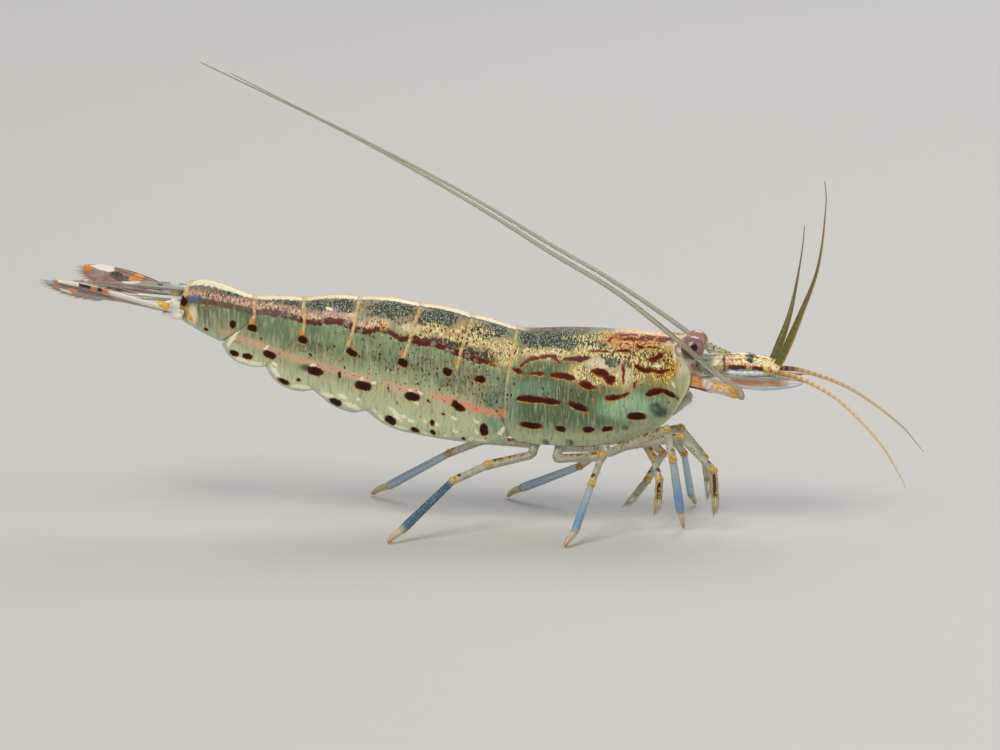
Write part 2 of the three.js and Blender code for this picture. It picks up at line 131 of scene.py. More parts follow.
class PaintBox:
    def __init__(self, name, **constants):
        self.finish = bpy.data.materials.new(name)
        self.finish.use_nodes = True
        self.tree = self.finish.node_tree
        self.shader = self.tree.nodes["Principled BSDF"]
        for socket, value in constants.items():
            self.shader.inputs[socket.replace("_", " ")].default_value = value
        coordinates = self.tree.nodes.new("ShaderNodeTexCoord")
        self.place = coordinates.outputs["Object"]

    def feed(self, socket, value):
        value = getattr(value, "socket", value)
        if isinstance(value, bpy.types.NodeSocket):
            self.tree.links.new(value, socket)
        elif isinstance(value, str):
            socket.default_value = tint(value)
        else:
            socket.default_value = value

    def note(self, name):
        """A number that was stored on the mesh."""
        reader = self.tree.nodes.new("ShaderNodeAttribute")
        reader.attribute_name = name
        return Value(self, reader.outputs["Fac"])

    def notes(self, *names):
        return [self.note(name) for name in names]

    def sum(self, kind, first, second=0.0):
        maths = self.tree.nodes.new("ShaderNodeMath")
        maths.operation = kind
        self.feed(maths.inputs[0], first)
        self.feed(maths.inputs[1], second)
        return Value(self, maths.outputs[0])

    def mapped(self, size, stretch):
        mapping = self.tree.nodes.new("ShaderNodeMapping")
        mapping.inputs["Scale"].default_value = [1 / (MM * size * s) for s in stretch]
        self.feed(mapping.inputs["Vector"], self.place)
        return mapping.outputs[0]

    def noise(self, size, detail=2.0, stretch=(1, 1, 1)):
        cloud = self.tree.nodes.new("ShaderNodeTexNoise")
        cloud.inputs["Scale"].default_value = 1.0
        cloud.inputs["Detail"].default_value = detail
        self.feed(cloud.inputs["Vector"], self.mapped(size, stretch))
        return Value(self, cloud.outputs["Fac"])

    def cells(self, size, stretch=(1, 1, 1)):
        """Scattered cells: the distance from the cell's middle, and a random number per cell."""
        scatter = self.tree.nodes.new("ShaderNodeTexVoronoi")
        scatter.inputs["Scale"].default_value = 1.0
        self.feed(scatter.inputs["Vector"], self.mapped(size, stretch))
        split = self.tree.nodes.new("ShaderNodeSeparateColor")
        self.feed(split.inputs[0], scatter.outputs["Color"])
        return scatter.outputs["Distance"], split.outputs[0]

    def fade(self, value, low, high, start=0.0, end=1.0):
        """start below low, end above high, and a soft step between them."""
        step = self.tree.nodes.new("ShaderNodeMapRange")
        step.interpolation_type = "SMOOTHSTEP"
        for socket, number in zip(step.inputs[:5], (value, low, high, start, end)):
            self.feed(socket, number)
        return Value(self, step.outputs[0])

    def between(self, value, low, high, soft=0.1):
        """1 where a value lies between two limits."""
        return (self.fade(value, low - soft, low + soft)
                * self.fade(value, high + soft, high - soft))

    def mix(self, share, under, over):
        blend = self.tree.nodes.new("ShaderNodeMix")
        blend.data_type = "RGBA"
        self.feed(blend.inputs[0], share)
        self.feed(blend.inputs[6], under)
        self.feed(blend.inputs[7], over)
        return blend.outputs[2]

    def tone(self, value, low, high, under, over):
        """One colour where a value is low, another where it is high."""
        return self.mix(self.fade(value, low, high), under, over)

    def lay(self, share, over):
        """Lays a colour over all that is painted so far, where share is 1."""
        self.colour = self.mix(share, self.colour, over)

    def dots(self, size, density, radius=0.32, stretch=(1, 1, 1), soft=0.08):
        """Scattered round dots; density, from 0 to 1, is the share of cells that hold one."""
        distance, chance = self.cells(size, stretch)
        here = self.sum("LESS_THAN", chance, density)
        return here * self.fade(distance, radius, radius + soft, 1.0, 0.0)

    def flecks(self, size, weight, most, stretch=(1, 1, 1)):
        """Ragged grains: none where weight is 0, most (a share of the ground) where it is 1."""
        level = self.fade(weight, 0, 1, 0.82, 0.72 - 0.4 * most)
        return self.fade(self.noise(size, 1, stretch), level, level + 0.04)

    def relief(self, height, depth):
        """Fine unevenness: height is a pattern, depth is in millimetres."""
        bump = self.tree.nodes.new("ShaderNodeBump")
        bump.inputs["Distance"].default_value = depth * MM
        self.feed(bump.inputs["Height"], height)
        self.feed(self.shader.inputs["Normal"], bump.outputs[0])

    def done(self):
        self.feed(self.shader.inputs["Base Color"], self.colour)
        return self.finish

# %% [markdown]
# ## Tools for shapes
# The animal is made of three kinds of form: curved shell plates, tapering rods, and flat blades.
# Each could be modelled by hand from a primitive and subdivided. Here each is swept from a curve by
# a short function instead, so that its size stays tied to the solid it covers. A part is a small
# dictionary: its points, its four-sided and three-sided faces, and the notes its finish reads.

# %% Curves
def smooth_through(points):
    """A smooth curve through (x, value) pairs, read at any x."""
    places, values = np.array(points, float).T
    slopes = np.empty(len(places))
    slopes[1:-1] = (values[2:] - values[:-2]) / (places[2:] - places[:-2])
    slopes[0] = (values[1] - values[0]) / (places[1] - places[0])
    slopes[-1] = (values[-1] - values[-2]) / (places[-1] - places[-2])

    def read(x):
        x = np.asarray(x, float)
        i = np.clip(np.searchsorted(places, x, side="right") - 1, 0, len(places) - 2)
        span = places[i + 1] - places[i]
        t = np.clip((x - places[i]) / span, 0, 1)
        bend = (2 * t - 3) * t * t
        ends = (1 + bend) * values[i] - bend * values[i + 1]
        lean = ((t - 2) * t + 1) * t * slopes[i] + (t - 1) * t * t * slopes[i + 1]
        return ends + span * lean
    return read


def smooth_path(points, count):
    """An even, smooth path of count places through a few points."""
    knots = np.array(points, float)
    steps = np.linalg.norm(np.diff(knots, axis=0), axis=1) ** 0.5
    station = np.concatenate([[0], np.cumsum(steps)])
    fine = np.linspace(0, station[-1], 60 * len(knots))
    dense = np.stack([smooth_through(np.column_stack([station, axis]))(fine) for axis in knots.T], 1)
    length = np.concatenate([[0], np.cumsum(np.linalg.norm(np.diff(dense, axis=0), axis=1))])
    even = np.linspace(0, length[-1], count)
    return np.stack([np.interp(even, length, axis) for axis in dense.T], 1)


def ease(value, low, high):
    """0 below low, 1 above high, and a soft step between them."""
    t = np.clip((np.asarray(value, float) - low) / (high - low), 0, 1)
    return t * t * (3 - 2 * t)


def unit(arrows):
    arrows = np.asarray(arrows, float)
    return arrows / np.maximum(np.linalg.norm(arrows, axis=-1, keepdims=True), 1e-12)

# %% Rods
def strip(rows, columns, start=0, around=False):
    """Four-sided faces between the rows of a grid of points."""
    wide = columns if around else columns - 1
    row, column = np.meshgrid(np.arange(rows - 1), np.arange(wide), indexing="ij")
    beside = (column + 1) % columns
    corners = [row * columns + column, row * columns + beside,
               (row + 1) * columns + beside, (row + 1) * columns + column]
    return np.stack([c.ravel() for c in corners], 1) + start


def ring_angles(sides):
    return np.arange(sides) * 2 * math.pi / sides


def frames_along(path):
    """For each place on a path: two arms square to the way it runs and to each other."""
    ways = unit(np.gradient(path, axis=0))
    arm = np.array([1.0, 0, 0] if abs(ways[0][2]) > 0.95 else [0, 0, 1.0])
    arms = []
    for way in ways:
        arm = unit(arm - way * np.dot(arm, way))
        arms.append(arm)
    arms = np.array(arms)
    return arms, np.cross(ways, arms)


def closed_loft(rings, notes):
    """A closed body through rings of points. A note is one number per ring, or one per point."""
    count, sides = rings.shape[:2]
    ends = rings[[0, -1]].mean(1)
    last, total = (count - 1) * sides, count * sides
    ring = np.arange(sides)
    beside = (ring + 1) % sides
    tris = np.concatenate([
        np.stack([beside, ring, np.full(sides, total)], 1),
        np.stack([last + ring, last + beside, np.full(sides, total + 1)], 1),
    ])
    spread = {}
    for name, value in notes.items():
        value = np.asarray(value, float)
        value = value[:, None] if value.ndim == 1 else value
        value = np.broadcast_to(value, (count, sides))
        spread[name] = np.concatenate([value.ravel(), [value[0].mean(), value[-1].mean()]])
    return {
        "points": np.vstack([rings.reshape(-1, 3), ends]),
        "quads": strip(count, sides, around=True),
        "tris": tris,
        "notes": spread,
    }


def rod(path, radius, sides=12, flat=1.0, **notes):
    """A closed tapering rod. flat under 1 narrows it across its second arm."""
    path = np.asarray(path, float)
    ups, sideways = frames_along(path)
    radius = np.broadcast_to(np.asarray(radius, float), (len(path),))
    angle = ring_angles(sides)
    ring = (np.cos(angle)[None, :, None] * ups[:, None]
            + flat * np.sin(angle)[None, :, None] * sideways[:, None])
    rings = path[:, None] + radius[:, None, None] * ring
    length = np.concatenate([[0], np.cumsum(np.linalg.norm(np.diff(path, axis=0), axis=1))])
    top = np.broadcast_to(np.cos(angle)[None, :], rings.shape[:2])
    made = {"along": length, "reach": np.linspace(0, 1, len(path)), "top": top, **notes}
    return closed_loft(rings, made)


def taper(count, shares, girths):
    """Radii at count even steps, from a few given at shares of the length."""
    return np.interp(np.linspace(0, 1, count), shares, girths)


# %% Sheets with thickness, and joining
def grid_normals(grid):
    """Arrows square to a curved grid of points, all pointing away from the grid's middle."""
    arrows = unit(np.cross(np.gradient(grid, axis=0), np.gradient(grid, axis=1)))
    outwards = ((grid - grid.reshape(-1, 3).mean(0)) * arrows).sum()
    return arrows if outwards > 0 else -arrows


def thick_sheet(outer, thickness, notes):
    """A closed shell: a grid of points, the same grid set inwards, and a rim between them."""
    rows, columns = outer.shape[:2]
    inner = outer - grid_normals(outer) * thickness
    count = rows * columns
    top = strip(rows, columns)
    under = strip(rows, columns, count)[:, ::-1]
    border = np.concatenate([
        np.arange(columns - 1),
        np.arange(rows - 1) * columns + columns - 1,
        (rows - 1) * columns + np.arange(columns - 1, 0, -1),
        np.arange(rows - 1, 0, -1) * columns,
    ])
    beside = np.roll(border, -1)
    rim = np.stack([border, border + count, beside + count, beside], 1)
    return {
        "points": np.vstack([outer.reshape(-1, 3), inner.reshape(-1, 3)]),
        "quads": np.concatenate([top, under, rim]),
        "tris": np.zeros((0, 3), int),
        "notes": {name: np.tile(np.asarray(value, float).ravel(), 2) for name, value in notes.items()},
    }


def gather(parts):
    """Several parts as one."""
    names = sorted({name for part in parts for name in part["notes"]})
    points, quads, tris, notes, start = [], [], [], {name: [] for name in names}, 0
    for part in parts:
        count = len(part["points"])
        points.append(part["points"])
        quads.append(part["quads"] + start)
        tris.append(part["tris"] + start)
        for name in names:
            notes[name].append(part["notes"].get(name, np.zeros(count)))
        start += count
    return {
        "points": np.vstack(points),
        "quads": np.concatenate(quads),
        "tris": np.concatenate(tris),
        "notes": {name: np.concatenate(values) for name, values in notes.items()},
    }


def with_notes(part, **notes):
    """Adds notes to a part: one number for all its points, or one for each."""
    for name, value in notes.items():
        part["notes"][name] = np.zeros(len(part["points"])) + value
    return part


def mesh_of(name, whole, scale=1.0, shift=0.0):
    """A mesh of a part, moved along X and scaled."""
    mesh = bpy.data.meshes.new(name)
    points = (whole["points"] + [shift, 0, 0]) * scale
    mesh.from_pydata(points.tolist(), [], whole["quads"].tolist() + whole["tris"].tolist())
    return mesh


def show(name, parts, finish, slot, *replaced):
    """Makes one visible piece from its parts and fastens it to the frame."""
    whole = gather(parts)
    mesh = mesh_of(name, whole, MM, SHIFT)
    for note, values in whole["notes"].items():
        layer = mesh.attributes.new(note, "FLOAT", "POINT")
        layer.data.foreach_set("value", np.asarray(values, np.float32))
    tidy = bmesh.new()
    tidy.from_mesh(mesh)
    bmesh.ops.recalc_face_normals(tidy, faces=tidy.faces)
    tidy.to_mesh(mesh)
    tidy.free()
    mesh.shade_smooth()
    mesh.materials.append(finish)
    piece = put(name, mesh)
    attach(piece, "root")
    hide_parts(*replaced)
    print(name, len(mesh.polygons), "faces")

# %% [markdown]
# ## The trunk's form
# From the side the trunk is a back line and a belly line; from above it is a half width. A cross
# section says how the flank runs between them. All shell plates and the soft body under them are
# read from these few curves, so they nest in each other. The numbers are those of the solids.

# %% Trunk curves
BACK_LINE = [
    (-22.8, 16.25), (-21.1, 16.75), (-17.25, 15.75), (-14, 15.62), (-10.05, 15.75), (-5.6, 15.32),
    (-2.1, 14.62), (1.25, 13.72), (5, 13.72), (8.5, 13.6), (12.5, 13.3),
]
BELLY_LINE = [
    (-22.9, 14.2), (-18.9, 12.25), (-15.4, 10.25), (-11.6, 8.9), (-7.4, 7.35), (-4, 6.55),
    (-1.3, 6.3), (0.6, 6.1), (3, 5.65), (7.2, 5.7), (10, 6.35), (11.7, 7.3), (13.4, 8.9),
]
HALF_WIDTH = [
    (-22.8, 1.15), (-19, 1.45), (-15, 1.95), (-10.5, 2.5), (-6, 2.95), (-1, 3.1), (2, 3.15),
    (6, 3.3), (9, 3.05), (11, 2.55), (13, 1.85),
]
CARAPACE_SECTION = [(0, 1), (0.3, 0.97), (0.58, 0.885), (0.8, 0.75), (0.94, 0.58), (1, 0.4),
                    (0.97, 0.24), (0.88, 0.1), (0.74, 0.02)]
TAIL_SECTION = [(0, 1), (0.36, 0.965), (0.66, 0.86), (0.87, 0.7), (0.97, 0.5), (1, 0.33),
                (0.97, 0.17), (0.9, 0.05), (0.8, 0)]
# Where each joint crosses the hem, the middle of the flank and the ridge, from front to back.
JOINT_LINES = [
    (13.3, 12.9, 12.5), (0.6, 0.75, 1.35), (-2.2, -2.9, -1.9), (-9.3, -6.7, -5.5),
    (-13.1, -10.5, -9.8), (-16.4, -13.8, -13.75), (-19.5, -17.35, -17.25), (-22.6, -22.2, -21.85),
]
FLAP_FRONT = [(0, 0.05), (0.2, -0.25), (0.36, -1.4), (0.5, -2.75), (0.7, -2.6), (1, -1.9)]
# The hem of each tail plate, from its hind corner to its front corner.
HEMS = {
    1: [(-2.3, 6.3), (-1, 6.2), (0.7, 6.15)],
    2: [(-9.3, 8.05), (-8.75, 7.7), (-7.9, 7.15), (-6.9, 6.75), (-5.4, 6.45), (-3.5, 6.15),
        (-1.4, 5.95), (0.2, 5.95)],
    3: [(-13.1, 9.35), (-12.5, 8.95), (-11.7, 8.35), (-10.8, 7.95), (-10, 7.8), (-9.5, 7.9),
        (-9, 7.95)],
    4: [(-16.4, 10.85), (-15.95, 10.2), (-15.3, 9.62), (-14.5, 9.3), (-13.7, 9.2), (-13.15, 9.28),
        (-12.7, 9.3)],
    5: [(-19.6, 12.5), (-19.25, 11.85), (-18.7, 11.35), (-18, 11), (-17.2, 10.82), (-16.5, 10.85),
        (-16, 10.85)],
    6: [(-22.7, 14.25), (-21, 13.25), (-19.6, 12.6), (-19, 12.4)],
}
PLATE_SWELL = 0.13
SHELL_THICKNESS = 0.11

back_at = smooth_through(BACK_LINE)
belly_at = smooth_through(BELLY_LINE)
half_width_at = smooth_through(HALF_WIDTH)


def joint_at(number):
    """Where a joint lies along the body, for a share of the flank's height."""
    return smooth_through(list(zip((0, 0.5, 1), JOINT_LINES[number])))


def section_reader(section):
    """Share of half width and share of height, for a share of the way from the ridge to the hem."""
    width_to_height, steps = 0.4, 240
    wide, high = smooth_path([(w * width_to_height, h) for w, h in section], steps).T
    share = np.linspace(0, 1, steps)
    return lambda t: (np.interp(t, share, wide / width_to_height), np.interp(t, share, high))


carapace_section = section_reader(CARAPACE_SECTION)
tail_section = section_reader(TAIL_SECTION)
print("trunk from", BACK_LINE[0][0], "to", BACK_LINE[-1][0], "mm")

# %% [markdown]
# ## Markings
# The dots, dashes and bands are what tells this species from its relatives. They sit in rows: dots
# half way up each tail plate, ovals above the hem, dashes on the carapace. Painting them on an image
# is one way. Here each mark is a short line with a radius, and the mesh stores how far each of its
# points is from the nearest one. The finish then turns that distance into a crisp, uneven edge.
# The long bands are curves, and the patches between them are soft ovals, kept in the same way.

# %% Where the marks lie
# Each mark: radius, then x and height of one point after the other.
TAIL_MARKS = [
    (0.24, -18.6, 13.85, -18.6, 13.8), (0.25, -17.25, 13.66, -17.1, 13.6),
    (0.25, -13.7, 12.95, -13.5, 12.85), (0.24, -10.25, 12.2, -9.95, 12.0),
    (0.27, -6.6, 11.55, -6.4, 11.45), (0.27, -3.45, 10.95, -3.35, 10.9),
    (0.25, -1.25, 10.45, -1.0, 10.4), (0.22, -18.7, 11.8, -18.45, 11.75),
    (0.21, -17.7, 11.62, -17.5, 11.58), (0.25, -16.2, 11.85, -15.85, 11.72),
    (0.31, -12.95, 10.78, -12.5, 10.68), (0.32, -9.6, 9.85, -9.05, 9.76),
    (0.29, -6.05, 9.2, -5.6, 9.14), (0.27, -2.8, 8.62, -2.45, 8.4), (0.2, -2.85, 8.75, -2.8, 8.5),
    (0.3, -0.86, 7.0, -0.84, 6.78), (0.2, -15.25, 9.95, -14.8, 9.8), (0.12, -14.0, 10.1, -13.9, 10.05),
    (0.27, -11.5, 8.6, -11.2, 8.5), (0.3, -7.5, 7.45, -7.3, 7.35), (0.2, -5.8, 6.8, -5.6, 6.72),
    (0.18, -4.45, 7.35, -4.45, 7.3), (0.18, -4.45, 6.65, -4.4, 6.6), (0.13, -2.3, 6.22, -2.25, 6.2),
    (0.1, -11.0, 10.62, -10.98, 10.4), (0.07, -7.55, 9.85, -7.5, 9.6),
    (0.11, -20.6, 13.45, -20.5, 13.42), (0.07, -16.6, 12.9, -16.55, 12.85),
    (0.08, -3.7, 8.0, -3.6, 7.98), (0.07, -4.7, 8.9, -4.65, 8.85), (0.06, -6.9, 8.7, -6.85, 8.6),
    (0.07, -13.1, 11.9, -13.05, 11.85), (0.26, -22.25, 15.55, -22.1, 15.3),
]
CARAPACE_MARKS = [
    (0.15, 1.7, 11.4, 2.3, 11.8, 2.9, 11.92, 3.6, 12.08, 4.0, 12.0, 4.35, 11.65),
    (0.19, 4.7, 11.85, 5.6, 11.88, 6.35, 12.0), (0.07, 6.3, 12.4, 7.4, 12.4),
    (0.17, 1.3, 11.12, 1.75, 10.85), (0.13, 2.2, 10.83, 3.2, 10.85),
    (0.22, 3.85, 10.8, 4.7, 10.74, 5.4, 10.6), (0.26, 6.05, 10.3, 6.45, 10.1),
    (0.24, 6.7, 11.1, 7.2, 10.98, 7.7, 10.8), (0.3, 7.6, 10.75, 7.95, 10.5),
    (0.07, 8.73, 11.3, 8.75, 10.45), (0.06, 9.53, 10.65, 9.55, 10.15), (0.21, 7.8, 9.25, 8.5, 9.38),
    (0.1, 8.5, 9.4, 9.1, 9.58), (0.24, 10.45, 9.5, 10.95, 9.68, 11.5, 9.75),
    (0.17, 11.5, 9.75, 12.35, 9.22), (0.25, 1.55, 9.17, 2.6, 9.14, 3.4, 9.05),
    (0.22, 3.4, 9.05, 4.25, 8.98), (0.25, 5.25, 8.8, 6.1, 8.52), (0.22, 1.85, 7.33, 3.0, 7.2),
    (0.21, 4.35, 7.08, 4.65, 7.05), (0.22, 6.25, 7.03, 6.55, 7.03), (0.2, 7.5, 7.07, 7.85, 7.12),
    (0.27, 9.35, 8.0, 10.05, 7.97), (0.14, 8.2, 12.4, 8.95, 12.42), (0.12, 9.6, 12.65, 10.65, 12.6),
    (0.2, 10.8, 11.85, 11.45, 12.12), (0.17, 9.6, 11.45, 10.2, 11.1, 10.6, 11.15),
    (0.14, 10.75, 11.08, 11.3, 11.0, 11.9, 11.15),
]
# Cream spots. The four small ones on the carapace at x 3.8, 7.5, 10.95 and 12.15, and the one at 12.4
# by the eye's hollow, are painted glints.
CREAM_SPOTS_AND_GLINTS = [
    (0.11, -18.4, 13.15, -18.9, 12.5), (0.14, -18.3, 11.4, -17.8, 11.25),
    (0.15, -17.4, 11.08, -16.7, 11.05), (0.08, -16.25, 12.25, -16.2, 12.3),
    (0.13, -15.75, 10.75, -15.45, 10.35), (0.09, -15.7, 11.15, -15.6, 11.1),
    (0.14, -14.1, 9.55, -13.3, 9.5), (0.08, -12.9, 11.15, -12.8, 11.15),
    (0.13, -12.1, 9.1, -11.7, 8.95), (0.11, -10.9, 9.0, -10.6, 8.9), (0.15, -10.4, 8.45, -9.75, 8.15),
    (0.08, -9.7, 8.85, -9.65, 8.8), (0.09, -9.5, 10.2, -9.4, 10.25), (0.06, -8.6, 10.05, -8.5, 10.05),
    (0.09, -8.5, 8.05, -8.45, 8.0), (0.11, -8.15, 7.6, -7.95, 7.45), (0.13, -7.2, 8.1, -6.8, 7.65),
    (0.07, -6.5, 7.75, -6.4, 7.7), (0.08, -6.0, 7.45, -5.85, 7.4), (0.11, -6.9, 6.95, -6.5, 6.85),
    (0.08, -5.0, 7.4, -4.95, 7.4), (0.07, -4.2, 7.25, -4.1, 7.2), (0.08, -5.95, 9.55, -5.9, 9.5),
    (0.07, -5.35, 9.5, -5.3, 9.45), (0.07, -5.65, 8.78, -5.55, 8.75), (0.08, -3.0, 7.75, -2.9, 7.7),
    (0.07, -1.5, 7.6, -1.4, 7.5), (0.08, -2.9, 6.75, -2.8, 6.7), (0.08, -3.6, 6.4, -3.5, 6.4),
    (0.1, -5.1, 6.6, -4.9, 6.5), (0.09, -1.9, 6.2, -1.7, 6.2), (0.09, -1.2, 6.15, -0.9, 6.1),
    (0.07, -1.35, 6.75, -1.3, 6.65), (0.09, 0.2, 6.6, 0.5, 7.0), (0.03, 3.8, 12.3, 3.9, 12.3),
    (0.03, 7.5, 12.35, 7.6, 12.3), (0.07, 10.95, 11.4, 11.15, 11.4), (0.02, 12.15, 10.2, 12.2, 10.1),
    (0.13, 12.4, 13.05, 12.6, 12.95), (0.07, -11.9, 15.05, -11.7, 15.0),
    (0.05, 12.35, 12.9, 12.25, 12.0, 12.3, 11.2),
]
GOLD_SPOTS = [
    (0.15, -17.25, 14.15, -17.2, 14.05), (0.13, -13.7, 13.45, -13.65, 13.35),
    (0.08, -10.1, 12.6, -10.0, 12.5), (0.1, -6.65, 12.2, -6.5, 12.0), (0.12, -2.85, 11.6, -2.8, 11.45),
    (0.08, -0.1, 11.5, 0.0, 11.45), (0.1, -8.0, 14.05, -7.85, 13.95), (0.09, -21.95, 14.9, -21.6, 14.0),
    (0.09, 12.2, 11.6, 12.3, 11.2), (0.09, 11.9, 10.9, 12.0, 10.7),
]
# The lower edge of the ink band, and the middle of the salmon band.
INK_LINE = [(-22, 15.3), (-20.5, 15.15), (-18.6, 14.85), (-17.1, 14.55), (-16, 14.5), (-15, 14.35),
            (-14, 14.15), (-13.2, 13.9), (-12.5, 13.92), (-11.7, 14.0), (-10.8, 13.95), (-10.1, 13.6),
            (-9.1, 13.35), (-8.4, 13.5), (-7.6, 13.42), (-6.8, 13.0), (-5.7, 12.8), (-5, 12.58),
            (-4.3, 12.56), (-3.6, 12.3), (-2.9, 12.05), (-1.5, 11.6), (-0.4, 11.35), (0.6, 11.1)]
SALMON_LINE = [(-19.6, 13.3), (-17, 12.5), (-13.5, 11.4), (-10.4, 10.6), (-7, 9.8), (-3.8, 9.1),
               (-0.6, 8.2), (0.7, 8)]
SALMON_STRENGTH = [(-19.8, 0), (-19, 0.6), (-12, 0.8), (-8.9, 0.9), (-8.6, 0.1), (-7.6, 0.1),
                   (-7.3, 0.85), (-5.4, 0.9), (-5.1, 0.15), (-4.6, 0.2), (-4.3, 1), (0.6, 1), (0.9, 0)]
ink_at = smooth_through(INK_LINE)
salmon_at = smooth_through(SALMON_LINE)
print(len(TAIL_MARKS) + len(CARAPACE_MARKS), "marks on each side")

# %% Where the patches lie
# Each patch: x, height, half length, half height.
PATCHES = {
    "slate": [(-19.2, 15.85, 2.2, 0.2), (-15.3, 15.15, 1.4, 0.45), (-10.85, 15.15, 0.9, 0.5),
        (-12.4, 15.2, 0.9, 0.35), (-7.4, 15.0, 1.8, 0.6), (-4.3, 14.45, 1.5, 0.55),
        (-0.9, 13.6, 1.5, 0.5), (2.4, 13.3, 0.9, 0.75), (4.6, 13.15, 1.9, 0.75), (6.6, 13.1, 1.2, 0.45),
        (7.3, 12.55, 0.3, 0.6), (8.0, 11.9, 0.6, 0.6)],
    "gilt": [(-8.3, 14.05, 0.9, 0.45), (-4.9, 13.65, 1.6, 0.65), (-1.9, 13.2, 1.9, 0.85),
        (0.4, 12.2, 1.3, 0.9), (3.4, 12.2, 2.2, 0.45), (6.4, 12.4, 1.3, 0.5), (8.7, 13.2, 4.4, 0.4),
        (8.8, 11.6, 2.2, 1.6), (6.8, 10.9, 1.9, 0.9), (11.5, 11.9, 1.4, 1.9)],
    "umber": [(9.0, 12.5, 1.6, 0.4), (10.3, 11.7, 1.9, 0.9), (11.3, 11.2, 1.0, 0.8),
        (8.3, 13.25, 1.2, 0.25), (10.8, 13.15, 1.8, 0.22), (6.4, 10.2, 1.2, 0.8),
        (-13.0, 12.4, 2.0, 0.5), (-9.0, 11.9, 1.6, 0.45), (-5.2, 11.4, 2.2, 0.6),
        (-2.2, 10.4, 2.2, 1.1), (-0.6, 9.3, 1.4, 0.9), (5.3, 9.6, 1.6, 0.5)],
    "amber": [(10.2, 13.15, 2.9, 0.42), (9.2, 12.85, 1.4, 0.3), (12.4, 12.6, 0.4, 0.6)],
    "pale": [(13.0, 10.9, 0.6, 2.2), (8.9, 10.9, 0.45, 0.9), (7.3, 11.6, 1.2, 0.45),
        (2.85, 13.1, 0.16, 0.5), (-21.5, 14.4, 0.35, 0.7), (-22.1, 16.3, 0.2, 0.5),
        (11.8, 12.95, 0.55, 0.35), (-10.2, 14.6, 0.5, 0.2), (-6.0, 13.85, 0.7, 0.3)],
    "teal": [(9.4, 8.6, 2.2, 1.0), (2.6, 9.9, 1.4, 0.5), (0.2, 8.6, 1.2, 2.2)],
    "blue": [(-21.3, 15.6, 0.5, 0.28), (-11.3, 14.85, 0.28, 0.2)],
    "haze": [(11.0, 8.55, 0.45, 0.4), (11.35, 8.2, 0.5, 0.4), (-13.4, 10.95, 0.4, 0.25),
        (8.9, 7.15, 0.25, 0.18), (3.4, 5.95, 0.25, 0.3), (5.1, 5.95, 0.25, 0.3)],
}


def patch_share(x, z, patches):
    """1 in the middle of a patch, falling softly past its edge to 0."""
    share = np.zeros(len(x))
    for middle, height, long, tall in patches:
        away = ((x - middle) / long) ** 2 + ((z - height) / tall) ** 2
        share = np.maximum(share, 1 - ease(np.sqrt(away), 0.55, 1.45))
    return share

# %% Distance to the marks
FAR_AWAY = 9.0
RIM_DROP = 0.07


def on_flank(points, x, height):
    """The half breadth of the plate where x and the height are these."""
    near = (points[:, 0] - x) ** 2 + (points[:, 2] - height) ** 2
    return points[np.argmin(near), 1]


def oval_distance(points, line, radius):
    """Roughly how far points lie from the edge of a blunt oval round two places."""
    start, end = line
    run = end - start
    reach = np.linalg.norm(run) / 2 + radius * 1.08
    from_middle = points - (start + end) / 2
    along = np.abs(from_middle @ unit(run))
    across = np.sqrt(np.maximum((from_middle ** 2).sum(1) - along ** 2, 0))
    return (((along / reach) ** 2.5 + (across / radius) ** 2.5) ** 0.4 - 1) * radius


def dash_distance(points, line, radius):
    """How far points lie from a bent dash that narrows towards its ends."""
    lengths = np.linalg.norm(np.diff(line, axis=0), axis=1)
    whole, passed = lengths.sum(), 0.0
    nearest = np.full(len(points), FAR_AWAY)
    for start, end, length in zip(line, line[1:], lengths):
        share = np.clip((points - start) @ (end - start) / length ** 2, 0, 1)
        place = (passed + share * length) / whole
        girth = radius * (1 - 0.4 * np.abs(2 * place - 1) ** 3)
        away = np.linalg.norm(points - start - share[:, None] * (end - start), axis=1) - girth
        nearest = np.minimum(nearest, away)
        passed += length
    return nearest


def mark_distance(points, marks, drop=0.0):
    """Millimetres from each point of one flank to the edge of the nearest mark."""
    nearest = np.full(len(points), FAR_AWAY)
    first, last = points[:, 0].min() - 1, points[:, 0].max() + 1
    for radius, *numbers in marks:
        places, heights = numbers[::2], numbers[1::2]
        if max(places) < first or min(places) > last:
            continue
        line = np.array([[x, on_flank(points, x, z), z - drop] for x, z in zip(places, heights)])
        measure = oval_distance if len(line) == 2 else dash_distance
        nearest = np.minimum(nearest, measure(points, line, radius))
    return nearest


def flank_notes(points, marks):
    """What the shell's finish reads at each point, the same on both flanks."""
    x, y, z = points.T
    notes = {name: np.full(len(points), FAR_AWAY) for name in ("mark", "rim", "cream", "gold")}
    for side in (-1, 1):
        flank = y * side >= 0
        mirrored = points[flank] * [1, side, 1]
        notes["mark"][flank] = mark_distance(mirrored, marks)
        notes["rim"][flank] = mark_distance(mirrored, marks, drop=RIM_DROP)
        notes["cream"][flank] = mark_distance(mirrored, CREAM_SPOTS_AND_GLINTS)
        notes["gold"][flank] = mark_distance(mirrored, GOLD_SPOTS)
    notes["ink"] = z - ink_at(x)
    notes["salmon"] = z - salmon_at(x)
    notes["salmon_share"] = np.interp(x, *zip(*SALMON_STRENGTH))
    notes["under_crest"] = back_at(x) - z
    notes["beside"] = np.abs(y)
    notes["zone"] = x
    notes["height"] = (z - belly_at(x)) / (back_at(x) - belly_at(x))
    for name, patches in PATCHES.items():
        notes[name] = patch_share(x, z, patches)
    return notes

# %% [markdown]
# ## Six tail plates
# Each ring of the tail is a thin, glassy plate that tucks its front edge under the plate before it
# and lets its rear edge stand free as a fine lip. The second plate's side flap laps over both of its
# neighbours, which marks this family of shrimps. A solid band would hide these laps, so each plate
# is a real shell with two faces and a rim, and its hem hangs in a lobe of its own.

# %% Tail plates
ALONG_TAIL, ACROSS_TAIL = 64, 200
TUCK, LIP = 0.16, 0.05
flap_front_at = smooth_through(FLAP_FRONT)


